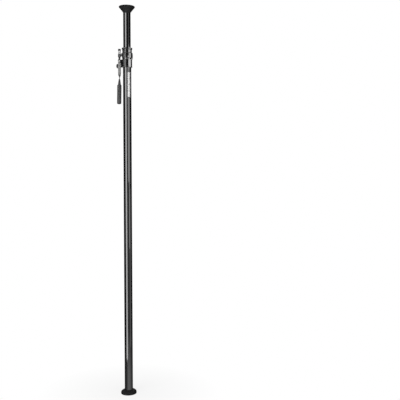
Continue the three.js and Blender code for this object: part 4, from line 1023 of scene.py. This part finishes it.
class POLE_OT_studio(Operator):
    """Pale floor, white backdrop, soft lamps and the camera"""

    bl_idname = "tension_pole.studio"
    bl_label = "Studio"
    bl_options = {"REGISTER", "UNDO"}

    # Turn from the camera's direction in degrees, then in metres the distance, width, height
    # and height of the middle, and last the setting that holds the power
    SOFTBOXES = (
        ("main softbox", -40.25, 0.62, 0.409, 2.68, 1.34, "main_lamp"),
        ("side softbox", 36, 0.9, 0.92, 0.86, 1.58, "side_lamp"),
        ("middle softbox", 45, 0.9, 0.36, 0.46, 0.92, "middle_lamp"),
        ("low softbox", 58, 0.9, 0.55, 1.1, 0.55, "low_lamp"),
        ("edge strip", 50, 0.9, 0.17, 0.5, 2.27, "edge_lamp"),
        ("lock strip", 60, 0.5, 0.14, 0.14, 1.925, "lock_lamp"),
    )
    TOP_SIZE = 2.0
    TOP_PLACE = (0.3, -1.0, 3.6)
    TOP_TILT = math.radians(16)
    FLOOR_HALF = 30
    SHADOW_REACH = (0.06, 0.5)  # Metres from the pole over which the floor turns white
    PAINTED_POOL_REACH = (0.35, 1.3)  # Metres over which the painted pool of light round the pole, which only shiny pieces see, darkens
    # Where a direction's share backward, to the right or upward starts and stops to count,
    # and the levels there
    BEHIND = (0.93, 0.99, 0.0, 1.0)
    PAINTED_POOL_FRONT = (-0.95, 0.2, 1.0, 0.1)
    PAINTED_SOFTBOX_SHADOW = (-0.75, -0.15, 0.25, 1.0)
    CEILING = (0.6, 0.95, 0.0, 0.35)

    def outward(self, graph, x, y):
        """Distance from the pole's axis, never nought."""
        return graph.root(x * x + y * y + 0.0001)

    def floor(self, settings):
        """Pale and matt with the pole's shadow and white far off; to shiny pieces it glows with a painted pool of
        light round the pole, dark beside it and in a painted shadow of the left softbox.
        """
        shape = bmesh.new()
        bmesh.ops.create_grid(shape, x_segments=1, y_segments=1, size=self.FLOOR_HALF)
        mesh = bpy.data.meshes.new("floor")
        shape.to_mesh(mesh)
        shape.free()
        material = bpy.data.materials.new("studio floor")
        material.use_nodes = True
        graph = Graph(material.node_tree)
        place = graph.place()
        pale = colours().floor
        tone = graph.blend(graph.noise(place, 8, 3), rgba(pale, 0.98), rgba(pale))
        inputs = {"Base Color": tone, "Roughness": 0.9}
        matt = graph.add("ShaderNodeBsdfPrincipled", "BSDF", {}, inputs)
        white = graph.add("ShaderNodeEmission", 0, {}, {"Color": WHITE})
        black = graph.add("ShaderNodeEmission", 0, {}, {"Color": BLACK})
        x, y, _ = graph.parts(place)
        reach = self.outward(graph, x, y)
        camera = graph.ray("Camera")
        shiny = graph.ray("Glossy", "Transmission")
        far = graph.spread(reach, *self.SHADOW_REACH, settings.floor_white, 1.0)
        behind = graph.spread(y / reach, *self.BEHIND)
        # Painted light: a glow only shiny pieces see, a painted pool of light round the pole that fades with
        # distance and behind the pole, with a painted shadow of the main softbox to the left
        near = graph.spread(reach, *self.PAINTED_POOL_REACH, settings.painted_glow_near, settings.painted_glow_far)
        near = near * graph.spread(y / reach, *self.PAINTED_POOL_FRONT)
        near = near * graph.spread(x / reach, *self.PAINTED_SOFTBOX_SHADOW)
        plain = graph.between(camera * far + shiny * behind, matt, white)
        # Painted reflection: the floor glows with that painted light in shiny pieces instead of being lit by the
        # lamps
        painted_floor_reflection = graph.between(near, black, white)
        surface = graph.between(shiny * (1 - behind), plain, painted_floor_reflection)
        graph.add("ShaderNodeOutputMaterial", None, {}, {"Surface": surface})
        mesh.materials.append(material)
        ground = bpy.data.objects.new("floor", mesh)
        bpy.context.scene.collection.objects.link(ground)

    def backdrop(self, settings):
        """White to the camera, and to shiny pieces white behind the pole and dark beside it."""
        world = bpy.data.worlds.new("studio")
        world.use_nodes = True
        bpy.context.scene.world = world
        graph = Graph(world.node_tree)
        x, y, z = graph.parts(graph.add("ShaderNodeTexCoord", "Generated"))
        behind = graph.spread(y / self.outward(graph, x, y), *self.BEHIND)
        above = graph.spread(z, *self.CEILING)
        seen = settings.dark_sides + (1 - settings.dark_sides) * graph.larger(behind, above)
        camera = graph.ray("Camera")
        shiny = graph.ray("Glossy", "Transmission")
        level = settings.ambient * (1 - camera - shiny) + camera + seen * shiny
        inputs = {"Color": WHITE, "Strength": level}
        surface = graph.add("ShaderNodeBackground", 0, {}, inputs)
        graph.add("ShaderNodeOutputWorld", None, {}, {"Surface": surface})

    def softbox(self, settings, name, turn, distance, width, tall, middle, power):
        """An upright lamp that faces the pole."""
        lamp = bpy.data.lights.new(name, "AREA")
        lamp.shape = "RECTANGLE"
        lamp.size = width
        lamp.size_y = tall
        lamp.energy = getattr(settings, power)
        box = bpy.data.objects.new(name, lamp)
        bpy.context.scene.collection.objects.link(box)
        toward = math.atan2(settings.camera_side, settings.camera_distance) + math.radians(turn)
        box.location = (distance * math.sin(toward), -distance * math.cos(toward), middle)
        box.rotation_euler = (math.radians(90), 0, toward)
        box.visible_camera = False

    def overhead(self, settings):
        """A wide lamp above, which shiny pieces don't show."""
        lamp = bpy.data.lights.new("top softbox", "AREA")
        lamp.size = self.TOP_SIZE
        lamp.energy = settings.top_lamp
        box = bpy.data.objects.new("top softbox", lamp)
        box.location = self.TOP_PLACE
        box.rotation_euler = (self.TOP_TILT, 0, 0)
        box.visible_camera = False
        box.visible_glossy = False
        bpy.context.scene.collection.objects.link(box)

    def camera(self, settings):
        data = bpy.data.cameras.new("camera")
        data.lens = settings.camera_lens
        camera = bpy.data.objects.new("camera", data)
        pitch = settings.camera_pitch
        height = settings.camera_aim + settings.camera_distance * math.tan(pitch)
        camera.location = (settings.camera_side, -settings.camera_distance, height)
        camera.rotation_euler = (math.radians(90) - pitch, 0, 0)
        bpy.context.scene.collection.objects.link(camera)
        bpy.context.scene.camera = camera

    def execute(self, context):
        settings = context.scene.pole_studio
        context.scene.view_settings.view_transform = "Standard"
        self.camera(settings)
        self.floor(settings)
        self.backdrop(settings)
        for softbox in self.SOFTBOXES:
            self.softbox(settings, *softbox)
        self.overhead(settings)
        return {"FINISHED"}


class POLE_PT_panel(Panel):
    """Lists the pieces of the pole and the values they are built from"""

    bl_idname = "POLE_PT_panel"
    bl_label = "Tension Pole"
    bl_space_type = "VIEW_3D"
    bl_region_type = "UI"
    bl_category = "Pole"

    def draw(self, context):
        for operator in OPERATORS:
            self.layout.operator(operator.bl_idname)
        for name, _ in GROUPS:
            group = getattr(context.scene, name)
            box = self.layout.box()
            for setting in group.bl_rna.properties.keys():
                if setting not in ("rna_type", "name"):
                    box.prop(group, setting)


GROUPS = (("pole_sizes", PoleSizes), ("pole_colours", PoleColours), ("pole_studio", StudioSettings))
OPERATORS = (
    POLE_OT_studio,
    POLE_OT_tubes,
    POLE_OT_cups,
    POLE_OT_castings,
    POLE_OT_fasteners,
    POLE_OT_adjuster,
    POLE_OT_lever,
    POLE_OT_lock,
    POLE_OT_label,
)


def register():
    for name, group in GROUPS:
        bpy.utils.register_class(group)
        setattr(bpy.types.Scene, name, PointerProperty(type=group))
    for operator in OPERATORS:
        bpy.utils.register_class(operator)
    bpy.utils.register_class(POLE_PT_panel)


def unregister():
    bpy.utils.unregister_class(POLE_PT_panel)
    for operator in reversed(OPERATORS):
        bpy.utils.unregister_class(operator)
    for name, group in reversed(GROUPS):
        delattr(bpy.types.Scene, name)
        bpy.utils.unregister_class(group)


def main():
    """Builds every piece."""
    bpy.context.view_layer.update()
    register()
    bpy.ops.tension_pole.studio()
    bpy.ops.tension_pole.tubes()
    bpy.ops.tension_pole.cups()
    bpy.ops.tension_pole.castings()
    bpy.ops.tension_pole.fasteners()
    bpy.ops.tension_pole.adjuster()
    bpy.ops.tension_pole.lever()
    bpy.ops.tension_pole.lock()
    bpy.ops.tension_pole.label()


if __name__ == "__main__":
    main()
